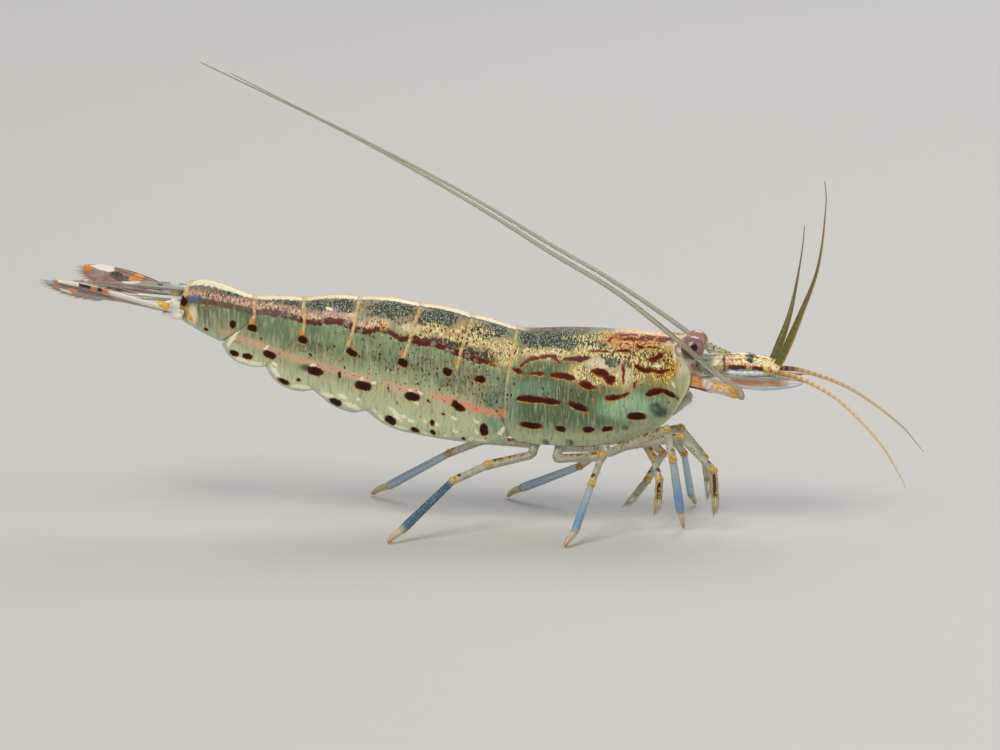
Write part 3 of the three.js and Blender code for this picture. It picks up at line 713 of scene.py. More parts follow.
def tail_plate(number):
    share = np.linspace(-0.08, 1.02, ALONG_TAIL)[:, None]
    side = np.linspace(-1, 1, ACROSS_TAIL)[None, :] + 0 * share
    wide, high = tail_section(np.abs(side))
    front_at = flap_front_at if number == 2 else joint_at(number)
    rear_at = joint_at(number + 1)
    front, rear = front_at(high), rear_at(high)
    corner = ease(np.abs(side), 0.86, 1) * ease(share, 0.8, 1.0)
    x = front + (rear - front) * share + 0.12 * corner ** 2
    held = np.clip(share, 0, 1)
    x_ridge = front_at(1) + (rear_at(1) - front_at(1)) * share
    x_hem = front_at(0) + (rear_at(0) - front_at(0)) * share
    z_low = smooth_through(HEMS[number])(x_hem)
    z_ridge = back_at(x_ridge) + PLATE_SWELL * np.sin(np.pi * held)
    z = z_low + (z_ridge - z_low) * high
    outer = np.stack([x, half_width_at(x) * wide * np.sign(side), z], -1)
    lift = -TUCK * (1 - ease(share, -0.08, 0.05)) + LIP * ease(share, 0.9, 1.0)
    if number == 2:
        flap = ease(np.abs(side), 0.42, 0.62)
        lift = lift * (1 - flap) + flap * (0.11 + 0.03 * (1 - ease(share, 0, 0.08)))
    if number == 1:
        lift = lift - 0.12 * ease(np.abs(side), 0.4, 0.6)
    outer = outer + grid_normals(outer) * lift[..., None]
    notes = flank_notes(outer.reshape(-1, 3), TAIL_MARKS)
    seam = (1 - share) * np.abs(front - rear)
    notes["seam"] = seam.ravel()
    notes["fold"] = ((1 - ease(high, 0.46, 0.54)) * np.ones_like(share)).ravel()
    notes["hem"] = (z - z_low).ravel()
    return thick_sheet(outer, SHELL_THICKNESS, notes)

# %% [markdown]
# ## The carapace
# One large shield covers the head and the leg-bearing middle. Its front edge is hollowed for the
# eye, has one small spine under the hollow, and rounds off below the cheek; its lower edge hangs
# free above the legs. It is one grid like the tail plates, with a front edge that is a curve.

# %% Carapace
ALONG_CARAPACE, ACROSS_CARAPACE = 130, 220
# The front edge: share of the height, and x.
FRONT_EDGE = [(0, 11.3), (0.06, 12.2), (0.16, 12.9), (0.3, 13.3), (0.45, 13.35), (0.56, 13.2),
              (0.62, 13.15), (0.655, 13.55), (0.69, 13.0), (0.76, 12.45), (0.84, 12.25),
              (0.91, 12.35), (0.96, 12.7), (1.0, 13.1)]
front_edge_at = smooth_through(FRONT_EDGE)


def carapace_part():
    share = np.linspace(0, 1.0, ALONG_CARAPACE)[:, None] ** 1.15
    side = np.linspace(-1, 1, ACROSS_CARAPACE)[None, :] + 0 * share
    wide, high = carapace_section(np.abs(side))
    rear = joint_at(1)(high) - 0.12 + 0.8 * ease(np.abs(side), 0.88, 1) ** 2
    front = front_edge_at(high)
    x = front + (rear - front) * share
    section_x = np.minimum(x, 13.2)
    low, top = belly_at(section_x), back_at(section_x)
    z = low + (top - low) * high + 0.06 * np.sin(np.pi * share) * high
    y = half_width_at(np.minimum(x, 13)) * wide * np.sign(side)
    outer = np.stack([x, y, z], -1)
    lift = 0.1 * ease(share, 0.93, 1.0) + 0.03 * ease(share, 0.03, 0.0)
    outer = outer + grid_normals(outer) * lift[..., None]
    notes = flank_notes(outer.reshape(-1, 3), CARAPACE_MARKS)
    notes["seam"] = (x - rear).ravel()
    notes["fold"] = (1 - ease(high, 0.5, 0.6)).ravel()
    notes["hem"] = np.minimum(z - low, front - x).ravel()
    return thick_sheet(outer, SHELL_THICKNESS, notes)

# %% [markdown]
# ## The finish of the shell
# The living shell is clear and grey-green, over muscle that shows faintly through. On top lie many
# thin layers of colour: a white-gold crest, slate patches under it, a wavy band of red-brown ink, a
# salmon band, cream and gold grains, brown freckles, and the dark marks with their golden lower
# rims. Each layer below is one of these, painted in the order in which they cover one another.

# %% Shell finish
def shell_base(box):
    """The clear grey-green ground: browner to the rear, paler low down, with upright streaks."""
    zone, height = box.notes("zone", "height")
    wander = box.noise(1.2, 3) - 0.5
    box.colour = box.tone(box.noise(2.0, 3), 0.35, 0.65, "6C7F60", "86986F")
    box.lay(box.fade(zone, -15, -6, 0, 0.4), "A9B088")
    box.lay(box.fade(zone, 1, 2, 0, 0.85), "5E724C")
    upper = box.fade(box.note("ink"), 0.2, 0.7) * box.fade(zone, 0.9, -0.8)
    upper = upper * box.fade(box.noise(0.8, 3), 0.3, 0.65, 0.45, 0.85)
    box.lay(upper, box.tone(zone, -17, -8, "8C6A58", "AC987A"))
    above = box.note("salmon") + wander * 0.8
    tail = box.fade(above, 1.6, -0.1, 0, 0.85) * box.fade(zone, 1.6, 0.8)
    tail = tail * box.fade(zone, -15, -6, 0.65, 1)
    box.lay(tail, "CECEA0")
    near = box.between(zone, -2.4, 0.6, 0.6) * box.fade(height, 0.72, 0.5, 0, 0.45)
    box.lay(near, "C2BE92")
    low = box.fade(height, 0.26, 0.03)
    box.lay(low, "CFD7AE")
    box.lay(box.fade(zone, -17, -22, 0, 0.6), "80765E")
    teal = box.note("teal") * box.fade(box.noise(0.9, 3), 0.3, 0.6, 0.6, 0.95)
    box.lay(teal, box.tone(zone, 5, 8, "7E9A7C", "A8CCA0"))
    streak = box.noise(0.3, 3, (0.45, 1, 3.2))
    pale = box.note("pale") * box.fade(streak, 0.3, 0.55, 0.75, 1)
    box.lay(pale, "F4E2BA")
    jaw = box.fade(zone, 11.4, 12.0) * box.fade(height, 0.56, 0.44, 0, 0.8)
    box.lay(jaw, "AFBA8A")
    calm = 1 - box.note("pale") * 0.7
    light = box.fade(streak, 0.5, 0.72, 0, 0.5) * calm
    box.lay(light, "CCD4AE")
    dark = box.fade(streak, 0.5, 0.3, 0, 0.4) * calm
    box.lay(dark, "50604C")


def shell_grains(box):
    """Slate patches, cream and gold grains, and brown netting."""
    upright = (0.6, 1, 1.9)
    grit = box.noise(0.3, 3, upright)
    loose = grit - 0.5
    gilt, slate, umber, amber = box.notes("gilt", "slate", "umber", "amber")
    calm = 1 - box.note("pale") * 0.85
    gilt, amber = gilt * calm, amber * calm
    rich = box.fade(box.note("zone"), 9.5, 11.5, 0, 0.75)
    ground = gilt * box.fade(grit, 0.35, 0.6, 0.5, 0.85)
    box.lay(ground, box.mix(rich, "E2C482", "CF9A44"))
    dark = slate + loose * 2.2
    box.lay(box.fade(dark, 0.4, 0.8, 0, 0.9), "363C3A")
    box.lay(box.flecks(0.2, slate, 0.4, upright), "7C8672")
    box.lay(box.flecks(0.13, slate, 0.3, upright), "BCCDA8")
    net = umber + loose * 2.6
    front = box.fade(box.note("zone"), 6.5, 8.5, 0.4, 1)
    box.lay(box.fade(net, 0.75, 1.05, 0, 0.8) * front, "5E3820")
    box.lay(box.flecks(0.22, gilt, 0.52, upright), box.mix(rich, "F4DE98", "F3C552"))
    box.lay(box.flecks(0.14, gilt, 0.34, upright), box.mix(rich, "FFF3BE", "FFF08A"))
    box.lay(box.flecks(0.18, gilt, 0.28, (0.8, 1, 1.5)), "5A3018")
    gold = amber * box.fade(grit, 0.35, 0.5, 0.5, 1)
    box.lay(gold, "E6A050")
    box.lay(box.flecks(0.3, amber, 0.5, (1.2, 1, 1)), "8A3420")
    box.lay(box.flecks(0.2, amber, 0.2, (1, 1, 1)), "6E5064")
    box.lay(box.flecks(0.15, amber, 0.34, (1, 1, 1)), "FBDDA0")
    sparks = box.dots(0.3, box.fade(gilt, 0.2, 1, 0.01, 0.22), 0.26, (0.8, 1, 1.4))
    box.lay(sparks, "D88A24")


def shell_bands(box):
    """The pink line, the slate and red-brown ink band, and the salmon band."""
    zone = box.note("zone")
    grain = box.noise(0.3, 3, (0.8, 1, 1.4))
    wander = grain - 0.5
    ink = box.note("ink") + wander * 0.5
    tail = box.fade(zone, 0.9, -0.8)
    pink = box.fade(ink, 0.36, 0.5) * box.fade(ink, 1.05, 0.75) * box.fade(zone, -7, -9.5, 0, 0.85)
    box.lay(pink * box.fade(grain, 0.38, 0.52), "D9A48C")
    box.lay(box.flecks(0.16, pink, 0.32, (0.7, 1, 1.5)), "7A4838")
    box.lay(box.flecks(0.13, pink, 0.4, (0.7, 1, 1.5)), "F6DDB4")
    roof = box.fade(zone, -8, -1.5, 0.5, 1.15)
    slate = box.fade(ink - roof, 0, -0.3)
    slate = box.fade(ink, 0.28, 0.42) * slate * tail * box.fade(zone, -10.5, -8.5)
    mottle = box.fade(box.noise(0.3, 3, (0.7, 1, 1.5)), 0.4, 0.56, 0.25, 0.95)
    box.lay(slate * mottle, "3B3B3B")
    box.lay(box.flecks(0.15, slate, 0.4, (0.7, 1, 1.6)), "57281A")
    dim = box.fade(zone, -14, -19, 1, 0.55)
    brown = box.fade(ink, -0.04, 0.04) * box.fade(ink, 0.46, 0.34) * tail * dim
    patchy = box.fade(box.noise(0.45, 3), 0.34, 0.46, 0.3, 1)
    box.lay(brown * patchy, "641F0F")
    under = box.fade(ink, -0.22, -0.14) * box.fade(ink, 0.02, -0.03)
    specks = under * tail * box.dots(0.22, 0.3, 0.3)
    box.lay(specks, "C5C87A")
    away = box.sum("ABSOLUTE", box.note("salmon") + wander * 0.4)
    salmon = box.fade(away, 0.4, 0.12) * box.note("salmon_share")
    box.lay(salmon * box.fade(grain, 0.36, 0.5, 0.65, 1), box.tone(zone, -6, -2, "EAB598", "EFA07A"))
    box.lay(box.flecks(0.13, salmon, 0.22, (0.8, 1, 1.4)), "CC6A42")


def shell_freckles(box):
    """Upright brown freckles, thickest amidships."""
    zone, height = box.notes("zone", "height")
    dense = box.fade(zone, -15, -5, 0.15, 1) * box.fade(height, 0.2, 0.42)
    dense = dense * box.fade(zone, 2.5, 0.2, 0.25, 1)
    dense = dense * box.fade(box.noise(0.8, 2), 0.38, 0.55, 0.45, 1)
    more = dense * 0.8 + box.note("umber") * 0.45
    fine = box.dots(0.19, box.fade(more, 0, 1, 0.01, 0.7), 0.25, (0.75, 1, 1.5))
    box.lay(fine * 0.85, "4F2917")
    bold = box.dots(0.33, box.fade(more, 0, 1, 0.01, 0.42), 0.22, (0.75, 1, 1.4))
    box.lay(bold, "662614")


def shell_lines(box):
    """The crest, the joint lines, the hem and its spots, painted glints on the carapace, and the dark
    marks.
    """
    zone, beside = box.notes("zone", "beside")
    rough = box.noise(0.25, 3)
    uneven = (rough - 0.5) * 0.35
    seam = box.note("seam") + uneven * 0.5
    line = box.fade(seam, 0.24, 0.14) * box.fade(seam, -0.04, 0.02)
    fold = box.note("fold")
    box.lay(line * box.fade(fold, 0, 1, 0.9, 0.25), box.tone(rough, 0.42, 0.58, "D3A266", "E8CE96"))
    shade = box.fade(beside, 0.66, 0.76) * box.fade(beside, 1.05, 0.9)
    shade = shade * box.fade(zone, -7, -5) * box.fade(zone, 2, 1)
    box.lay(shade * 0.75, "33231A")
    side = beside + uneven
    box.lay(box.fade(side, 1.0, 0.7) * box.between(zone, 1.6, 6.3, 0.3),
            box.tone(rough, 0.4, 0.6, "4A4236", "7E7058"))
    front_top = box.fade(zone, 7.6, 8.8)
    row = box.between(box.note("under_crest"), 0.12, 0.5, 0.06) * front_top
    row = row * box.fade(box.noise(0.3, 2, (1.6, 1, 0.8)), 0.4, 0.5, 0.1, 0.9)
    box.lay(row, box.tone(rough, 0.4, 0.6, "8E301C", "6E3A4C"))
    box.lay(box.fade(side, 0.75, 0.5) * front_top, box.tone(rough, 0.4, 0.6, "F3AC50", "FDE0A4"))
    tail = box.fade(zone + uneven * 4, 2.4, 0.6)
    crest = box.fade(side, 0.82, 0.7) * tail * box.fade(box.note("seam") + uneven, 0.1, 0.4, 0.35, 1)
    box.lay(crest, box.tone(rough, 0.35, 0.65, "FFFBE4", "FFECAE"))
    crest = box.fade(side, 0.26, 0.1) * box.fade(zone, 0.4, 2.6, 0.9, 0.2)
    crest = crest * box.fade(box.noise(0.5, 2), 0.36, 0.5, 0.35, 1)
    box.lay(crest, "F2AC40")
    hem = box.note("hem") + uneven
    box.lay(box.fade(hem, 0.34, 0.02, 0, 0.8), box.tone(zone, 11, 11.6, "B9CDC0", "E6DEC2"))
    broken = box.noise(0.16, 2)
    # Cream spots, with a few painted glints on the carapace among them.
    ragged = box.note("cream") + (broken - 0.5) * 0.32
    box.lay(box.fade(ragged, 0.09, 0.0), "FFFAD2")
    gold = box.note("gold") + (broken - 0.5) * 0.4
    box.lay(box.fade(gold, 0.04, -0.04), "EC951E")
    fine = (box.noise(0.14, 2) - 0.5) * 0.13
    front = box.fade(zone, 1, 1.6) * box.fade(box.note("height"), 0.36, 0.5)
    ragged = 0.14 + front * 0.22
    edge = (box.noise(0.5, 1) - 0.5) * ragged + fine
    rim = box.fade(box.note("rim") + edge, 0.03, -0.02)
    patchy = box.fade(box.noise(0.45, 1), 0.35, 0.5, 0.35, 1)
    box.lay(rim * patchy, box.tone(rough, 0.4, 0.6, "DB9426", "C9BC48"))
    mark = box.note("mark") + edge
    brown = box.mix(front, "4A1308", "7E2C16")
    box.lay(box.fade(mark, 0.08, 0.0, 0, 0.3), brown)
    core = box.tone(mark, -0.02, -0.14, brown, box.mix(front, "260A05", "4C1710"))
    box.lay(box.fade(mark, 0.03, -0.03), core)


def shell_finish():
    box = PaintBox("shell", Roughness=0.4, IOR=1.4, Specular_IOR_Level=0.25, Coat_Weight=0.06,
                   Coat_Roughness=0.2, Subsurface_Weight=0.2, Subsurface_Scale=0.4 * MM)
    box.shader.inputs["Subsurface Radius"].default_value = (1.0, 0.9, 0.6)
    for layer in (shell_base, shell_grains, shell_bands):
        layer(box)
    haze = box.note("haze") * box.fade(box.noise(0.4, 2), 0.3, 0.6, 0.5, 0.95)
    box.lay(haze, "48584C")
    blue = box.note("blue") * box.fade(box.noise(0.4, 2), 0.3, 0.6, 0.6, 1)
    box.lay(blue, box.tone(box.note("zone"), -14, -12, "5A728C", "A79AAA"))
    shell_freckles(box)
    shell_lines(box)
    box.relief(box.noise(0.15, 3), 0.02)
    return box.done()


shell = shell_finish()

# %% Show the plates
for number in range(1, 7):
    show(f"tail_plate_{number}", [tail_plate(number)], shell, "shell", f"pleon_{number}")
show("carapace_shield", [carapace_part()], shell, "shell", "carapace")

# %% [markdown]
# ## The soft body
# Inside the shell is one soft body: muscle, the belly between the side flaps, the face, and the two
# eyestalks. Seams would look wrong here, so the parts are pushed together and then wrapped in one
# even skin of tiny cells, a voxel remesh, which melts every crossing into a smooth join.

# %% Body under the shell
BODY_INSET = 0.2
EYES = {"right": (13.5, -2.22, 12.72), "left": (13.65, 2.2, 12.5)}
SIDES = {"right": -1, "left": 1}
SOFT_CELL = 0.13


def trunk_rings(x_from, x_to, section, count):
    """Rings of the soft trunk between two places, set in from the shell."""
    half = np.array(section)
    full = np.vstack([half * [-1, 1], half[-2:0:-1]])
    rings = []
    for x in np.linspace(x_from, x_to, count):
        top, low = back_at(x) - BODY_INSET, belly_at(x) + 0.3
        wide = half_width_at(x) - BODY_INSET
        rings.append(np.column_stack([
            np.full(len(full), x), full[:, 0] * wide, low + (top - low) * full[:, 1],
        ]))
    return np.array(rings)


CARAPACE_INSIDE = CARAPACE_SECTION + [(0.55, 0), (0.42, 0.06), (0, 0.09)]
TAIL_INSIDE = [(0, 1), (0.36, 0.965), (0.66, 0.86), (0.87, 0.7), (0.96, 0.5), (0.96, 0.33),
               (0.86, 0.2), (0.66, 0.16), (0.44, 0.22), (0, 0.25)]


def ball(centre, radii, rows=14, sides=20, **notes):
    """A closed rounded lump."""
    polar = np.linspace(0.02, math.pi - 0.02, rows)
    angle = ring_angles(sides)
    rings = np.stack([
        np.cos(polar)[:, None] + 0 * angle,
        np.sin(polar)[:, None] * np.cos(angle),
        np.sin(polar)[:, None] * np.sin(angle),
    ], -1) * radii + np.array(centre)
    return closed_loft(rings, notes)


def soft_parts():
    parts = [closed_loft(trunk_rings(0.5, 12.4, CARAPACE_INSIDE, 40), {}),
             closed_loft(trunk_rings(-22.2, 1.5, TAIL_INSIDE, 80), {}),
             ball((-22.1, 0, 15.3), (0.55, 0.9, 0.85))]
    face = smooth_path([(11.2, 0, 11.1), (12.4, 0, 11.1), (13.4, 0, 11.0), (14.5, 0, 10.9)], 12)
    parts.append(rod(face, [1.5, 1.5, 1.5, 1.48, 1.45, 1.4, 1.32, 1.2, 1.05, 0.9, 0.7, 0.45], 24, 0.95))
    parts.append(ball((12.5, 0, 9.6), (0.8, 0.8, 0.75)))
    for name, side in SIDES.items():
        place = EYES[name]
        stalk = smooth_path([(12.7, 0.25 * side, 11.9), (13.2, 1.0 * side, 12.2),
                             (place[0] - 0.05, 1.85 * side, place[2] - 0.1)], 10)
        parts.append(rod(stalk, np.linspace(0.5, 0.62, 10), 16))
        parts.append(ball((12.75, 1.05 * side, 10.95), (0.75, 0.5, 0.85)))
    return parts


def one_skin(parts, cell, smoothing):
    """The parts melted into a single even skin; gives back its points and faces."""
    holder = put("rough", mesh_of("rough", gather(parts)))
    wrap = holder.modifiers.new("wrap", "REMESH")
    wrap.mode = "VOXEL"
    wrap.voxel_size = cell
    soften = holder.modifiers.new("soften", "SMOOTH")
    soften.iterations = smoothing
    even = holder.evaluated_get(bpy.context.evaluated_depsgraph_get()).to_mesh()
    points = np.array([tuple(v.co) for v in even.vertices])
    faces = [tuple(p.vertices) for p in even.polygons]
    bpy.data.objects.remove(holder)
    quads = np.array([f for f in faces if len(f) == 4]).reshape(-1, 4)
    tris = np.array([f for f in faces if len(f) == 3], int).reshape(-1, 3)
    return {"points": points, "quads": quads, "tris": tris, "notes": {}}


def flesh_finish():
    box = PaintBox("flesh", Roughness=0.35, IOR=1.4, Coat_Weight=0.3, Coat_Roughness=0.15,
                   Subsurface_Weight=0.4, Subsurface_Scale=0.6 * MM)
    zone, level = box.notes("zone", "level")
    box.colour = box.tone(box.noise(0.9, 3), 0.35, 0.65, "A9A78A", "C2B998")
    cheek = box.tone(box.noise(0.35, 3), 0.4, 0.6, "E2CDAE", "FAF0DC")
    box.lay(box.fade(zone, 12.0, 12.6), cheek)
    box.lay(box.fade(zone, 13.3, 13.7, 0, 0.6), "FFF6DC")
    low = box.fade(level, 10.2, 9.7) * box.fade(zone, 12.0, 12.6)
    box.lay(low, "A9B28C")
    stalk = box.fade(zone, 12.6, 13.0) * box.fade(box.note("beside"), 0.7, 1.2)
    stalk = stalk * box.fade(level, 11.7, 12.0)
    box.lay(stalk, "8A5A4A")
    box.lay(box.dots(0.22, 0.3, 0.3), "F4E6BC")
    box.lay(box.dots(0.4, 0.3, 0.3), "DA8426")
    blot = box.note("blot") + box.noise(0.3, 2) * 0.3
    box.lay(box.fade(blot, 0.2, 0.05), "F0981E")
    box.lay(box.dots(0.3, 0.25, 0.26), "5A2415")
    box.relief(box.noise(0.2, 3), 0.03)
    return box.done()


soft = one_skin(soft_parts(), SOFT_CELL, 4)
ORANGE_BLOT = (13.85, 1.2, 11.0)
soft["notes"] = {"zone": soft["points"][:, 0], "beside": np.abs(soft["points"][:, 1]),
                 "level": soft["points"][:, 2]}
from_blot = soft["points"] * [1, 0, 1] + [0, 1, 0] * np.abs(soft["points"]) - ORANGE_BLOT
soft["notes"]["blot"] = np.linalg.norm(from_blot, axis=1) - 0.35
show("soft_body", [soft], flesh_finish(), "flesh", "head", "eyestalk_right", "eyestalk_left")

# %% [markdown]
# ## Eyes
# Each eye is a dome of hundreds of tiny lenses on a short stalk. It is rosy brown, ringed with
# cream, and one dark spot lies in its middle. A ball with fine six-sided relief gives the dome.

# %% Eyes
EYE_RADIUS = 0.85


def eye_finish():
    box = PaintBox("eye", Roughness=0.2, IOR=1.45, Coat_Weight=0.6, Coat_Roughness=0.06)
    out, turn, level, ahead = box.notes("outward", "turn", "level", "ahead")
    box.colour = box.tone(box.noise(0.5, 2), 0.35, 0.65, "A26C6A", "BC857C")
    rays = box.sum("SINE", turn * 30 + box.noise(0.3, 2) * 6)
    box.lay(box.fade(rays, 0.1, 0.9, 0, 0.55), "64383C")
    # Painted shadow: the lower back of the dome is darkened where the stalk's cup shades it.
    shade = level + ahead * 0.6 + box.noise(0.4, 2) * 0.2
    box.lay(box.fade(shade, -0.1, -0.5, 0, 0.9), "35261F")
    box.lay(box.fade(ahead, 0.55, 0.9, 0, 0.7), "9A5E48")
    spot = out + (box.noise(0.25) - 0.5) * 0.2
    box.lay(box.fade(spot, 0.42, 0.22), "0B0608")
    box.lay(box.fade(out, 1.35, 1.6), "B58468")
    box.relief(box.cells(0.07)[0], -0.008)
    return box.done()


eye_skin = eye_finish()
for name, centre in EYES.items():
    side = np.sign(centre[1])
    dome = ball(centre, (EYE_RADIUS * 0.97, EYE_RADIUS, EYE_RADIUS * 0.97), 40, 56)
    arm = (dome["points"] - centre) / EYE_RADIUS
    gaze = unit([0.22, side, 0.16])
    dome["notes"] = {"outward": np.linalg.norm(arm - gaze, axis=1), "level": arm[:, 2],
                     "ahead": arm[:, 0], "turn": np.arctan2(arm[:, 0], np.abs(arm[:, 1]) + 0.05)}
    show(f"eye_dome_{name}", [dome], eye_skin, "eye", f"eye_{name}")

# %% [markdown]
# ## Rostrum
# Between the eyes the shield runs out into a thin beak, bent down over the feelers' roots, with a saw
# of small forward teeth on top and a few below. It is clear, with dark and golden grains.

# %% Rostrum
BEAK_TOP = [(10.9, 13.42), (12.0, 13.4), (13.0, 13.28), (14.2, 12.9), (15.3, 12.42), (16.4, 11.9)]
BEAK_UNDER = [(10.9, 13.1), (12.0, 12.75), (13.0, 12.5), (14.2, 12.25), (15.3, 12.02), (16.4, 11.84)]
BEAK_HALF_THICKNESS = 0.13
TEETH_ABOVE, TEETH_BELOW = 15, 4


def beak_parts():
    top_at, under_at = smooth_through(BEAK_TOP), smooth_through(BEAK_UNDER)
    angle = ring_angles(16)
    rings = []
    for x in np.linspace(BEAK_TOP[0][0], BEAK_TOP[-1][0], 60):
        middle, half = (top_at(x) + under_at(x)) / 2, (top_at(x) - under_at(x)) / 2
        thin = BEAK_HALF_THICKNESS * (1 - 0.75 * ease(x, 12.5, 16.4))
        rings.append(np.column_stack([
            np.full(16, x), thin * np.sin(angle), middle + half * np.cos(angle),
        ]))
    parts = [closed_loft(np.array(rings), {})]
    for x in np.linspace(11.4, 15.9, TEETH_ABOVE):
        size = 0.3 - 0.1 * ease(x, 13, 16)
        root = np.array([x, 0, top_at(x) - 0.05])
        lean = np.array([0.85, 0, 0.5]) - np.array([0, 0, 0.35]) * ease(x, 12.5, 16)
        path = [root, root + lean * size * 0.6, root + lean * size + [0.05, 0, -0.03]]
        parts.append(rod(smooth_path(path, 6), [0.075, 0.065, 0.05, 0.035, 0.02, 0.006], 7))
    for x in np.linspace(13.9, 15.6, TEETH_BELOW):
        root = np.array([x, 0, under_at(x) + 0.04])
        path = [root, root + [0.12, 0, -0.1], root + [0.24, 0, -0.12]]
        parts.append(rod(smooth_path(path, 5), [0.06, 0.05, 0.035, 0.02, 0.006], 7))
    return parts


def beak_finish():
    box = PaintBox("beak", Roughness=0.2, IOR=1.4, Coat_Weight=0.3, Transmission_Weight=0.9)
    box.colour = box.tone(box.noise(0.5, 3), 0.4, 0.6, "DCE2CA", "F0F0DC")
    box.lay(box.dots(0.2, 0.4, 0.3), "3F3020")
    box.lay(box.dots(0.26, 0.35, 0.32), "F2D44E")
    box.relief(box.noise(0.1, 2), 0.01)
    return box.done()


show("rostrum_beak", beak_parts(), beak_finish(), "shell", "rostrum")

# %% [markdown]
# ## Hairs and brushes
# Mouth limbs, claws, swimming legs and the tail fan all carry rows of fine bristles. Each bristle is
# a small three-sided spike, so a whole fringe stays light and is still solid.

# %% Bristles
def bristles(roots, ways, length, radius=0.022, droop=0.12, seed=1):
    """Fine spikes from roots along ways; length may differ from one to the next."""
    dice = np.random.default_rng(seed)
    roots, ways = np.asarray(roots, float), unit(ways)
    length = np.broadcast_to(np.asarray(length, float), (len(roots),))
    parts = []
    for root, way, long in zip(roots, ways, length):
        way = unit(way + dice.normal(0, 0.09, 3))
        long = long * dice.uniform(0.8, 1.1)
        tip = root + way * long - np.array([0, 0, droop * long])
        path = np.array([root, root + way * long * 0.5, tip])
        parts.append(rod(path, [radius, radius * 0.75, radius * 0.15], 3, bristle=1.0))
    return gather(parts)

# %% [markdown]
# ## Feelers
# A pair of very long antennae sweeps back over the tail. The two antennules have three stout joints
# each, and each carries two shorter whips: one stands up, one arches down. All whips are made of
# hundreds of short rings and taper to almost nothing, so each is a ringed rod along a smooth curve.

# %% Whips
RING_LENGTH = 0.22


def whip(points, girths, sides=10):
    """A ringed, tapering whip. girths are radii at even steps along it."""
    rough = smooth_path(points, 60)
    length = np.linalg.norm(np.diff(rough, axis=0), axis=1).sum()
    count = int(length / RING_LENGTH * 3)
    path = smooth_path(points, count)
    share = np.linspace(0, 1, count)
    radius = np.interp(share, np.linspace(0, 1, len(girths)), girths)
    ringed = 1 + 0.05 * np.cos(np.arange(count) * 2 * math.pi / 3)
    radius = radius * ringed
    radius[-1] *= 0.3
    return rod(path, radius, sides)


def whip_finish(name, colours, root_end, band_share, clear):
    """colours: root, middle, tip, rings, and the light line along the upper side."""
    root, middle, tip, rings, light = colours
    box = PaintBox(name, Roughness=0.35, IOR=1.38, Coat_Weight=0.25, Transmission_Weight=clear)
    reach, along, top = box.notes("reach", "along", "top")
    box.colour = box.tone(reach, root_end * 0.6, root_end * 1.3, root, middle)
    box.lay(box.fade(reach, 0.5, 0.95), tip)
    wave = box.sum("SINE", along * (2 * math.pi / (RING_LENGTH * 2))) + box.noise(0.8, 2) * 0.8
    strength = box.fade(reach, 0.7, 0.1, 0.1 * band_share, band_share)
    box.lay(box.fade(wave, 0.2, 0.9) * strength, rings)
    edge = top + (box.noise(0.4, 2) - 0.5) * 0.5
    box.lay(box.fade(edge, -0.5, -0.8, 0, 0.8), light)
    box.relief(box.noise(0.15, 2), 0.01)
    return box.done()


ANTENNA_ROUTES = {
    "right": [(16.6, 2.5, 9.5), (16.95, 2.85, 9.4), (16.75, 3.15, 9.95), (15.65, 3.35, 10.78),
              (14.65, 3.5, 11.55), (13.35, 3.62, 12.7), (10.95, 4.3, 14.8), (8.05, 5.1, 17.1),
              (3.9, 6.1, 19.7), (0.6, 6.9, 21.9), (-4, 7.9, 24.75), (-9.9, 9.1, 28.1),
              (-18.9, 11, 32.65)],
    "left": [(16.6, 2.5, 9.5), (16.95, 2.85, 9.4), (16.65, 3.2, 9.95), (15.1, 3.6, 11.2),
             (12.45, 3.9, 13.3), (7.4, 4.9, 16.5), (3.1, 5.9, 18.8), (-2.4, 6.9, 21.9),
             (-9.2, 8.1, 25.3), (-16.6, 9.7, 28.7), (-20.8, 11, 30.6)],
}
OUTER_WHIPS = {
    "right": [(19.2, 1, 11.2), (19.7, 1.15, 12.1), (20.83, 1.6, 14.92), (22, 2.2, 18.4),
              (22.46, 2.8, 22.7), (22.36, 3, 24.4)],
    "left": [(18.9, 1, 11.2), (19.2, 1.1, 11.9), (20.03, 1.6, 14.2), (20.5, 2.2, 16.2),
             (20.95, 2.8, 19), (21.1, 3, 20.7)],
}
INNER_WHIPS = {
    "right": [(19.2, 0.95, 10.9), (21.1, 1.2, 10.44), (23.7, 2, 9.04), (26.4, 2.8, 6.36),
              (28, 3.2, 3.8), (28.2, 3.25, 3.3)],
    "left": [(19.2, 0.95, 10.9), (21.1, 1.1, 10.7), (24.5, 1.8, 9.34), (27.9, 2.6, 6.8),
             (29.3, 2.9, 5.2), (29.7, 3, 4.7)],
}
antenna_skin = whip_finish("antenna", ("DADCC6", "C8CBB2", "A8A78A", "B2B79C", "ECEEDC"),
                           0.1, 0.25, 0.8)
outer_skin = whip_finish("outer_whip", ("7E7C3C", "8A7A48", "A3836A", "56542A", "D6AE3E"),
                         0.3, 0.25, 0.25)
INNER_COLOURS = {"right": ("E2B878", "F6DEA8", "E6D0B0", "D08A3E", "FFF0CC"),
                 "left": ("4A3018", "EFD6A0", "DCC6A8", "C98D4C", "F6E8C4")}
inner_skins = {name: whip_finish(f"inner_whip_{name}", shades, 0.12, 0.6, 0.15)
               for name, shades in INNER_COLOURS.items()}


def mirrored(points, side):
    return [(x, y * side, *rest) for x, y, *rest in points]


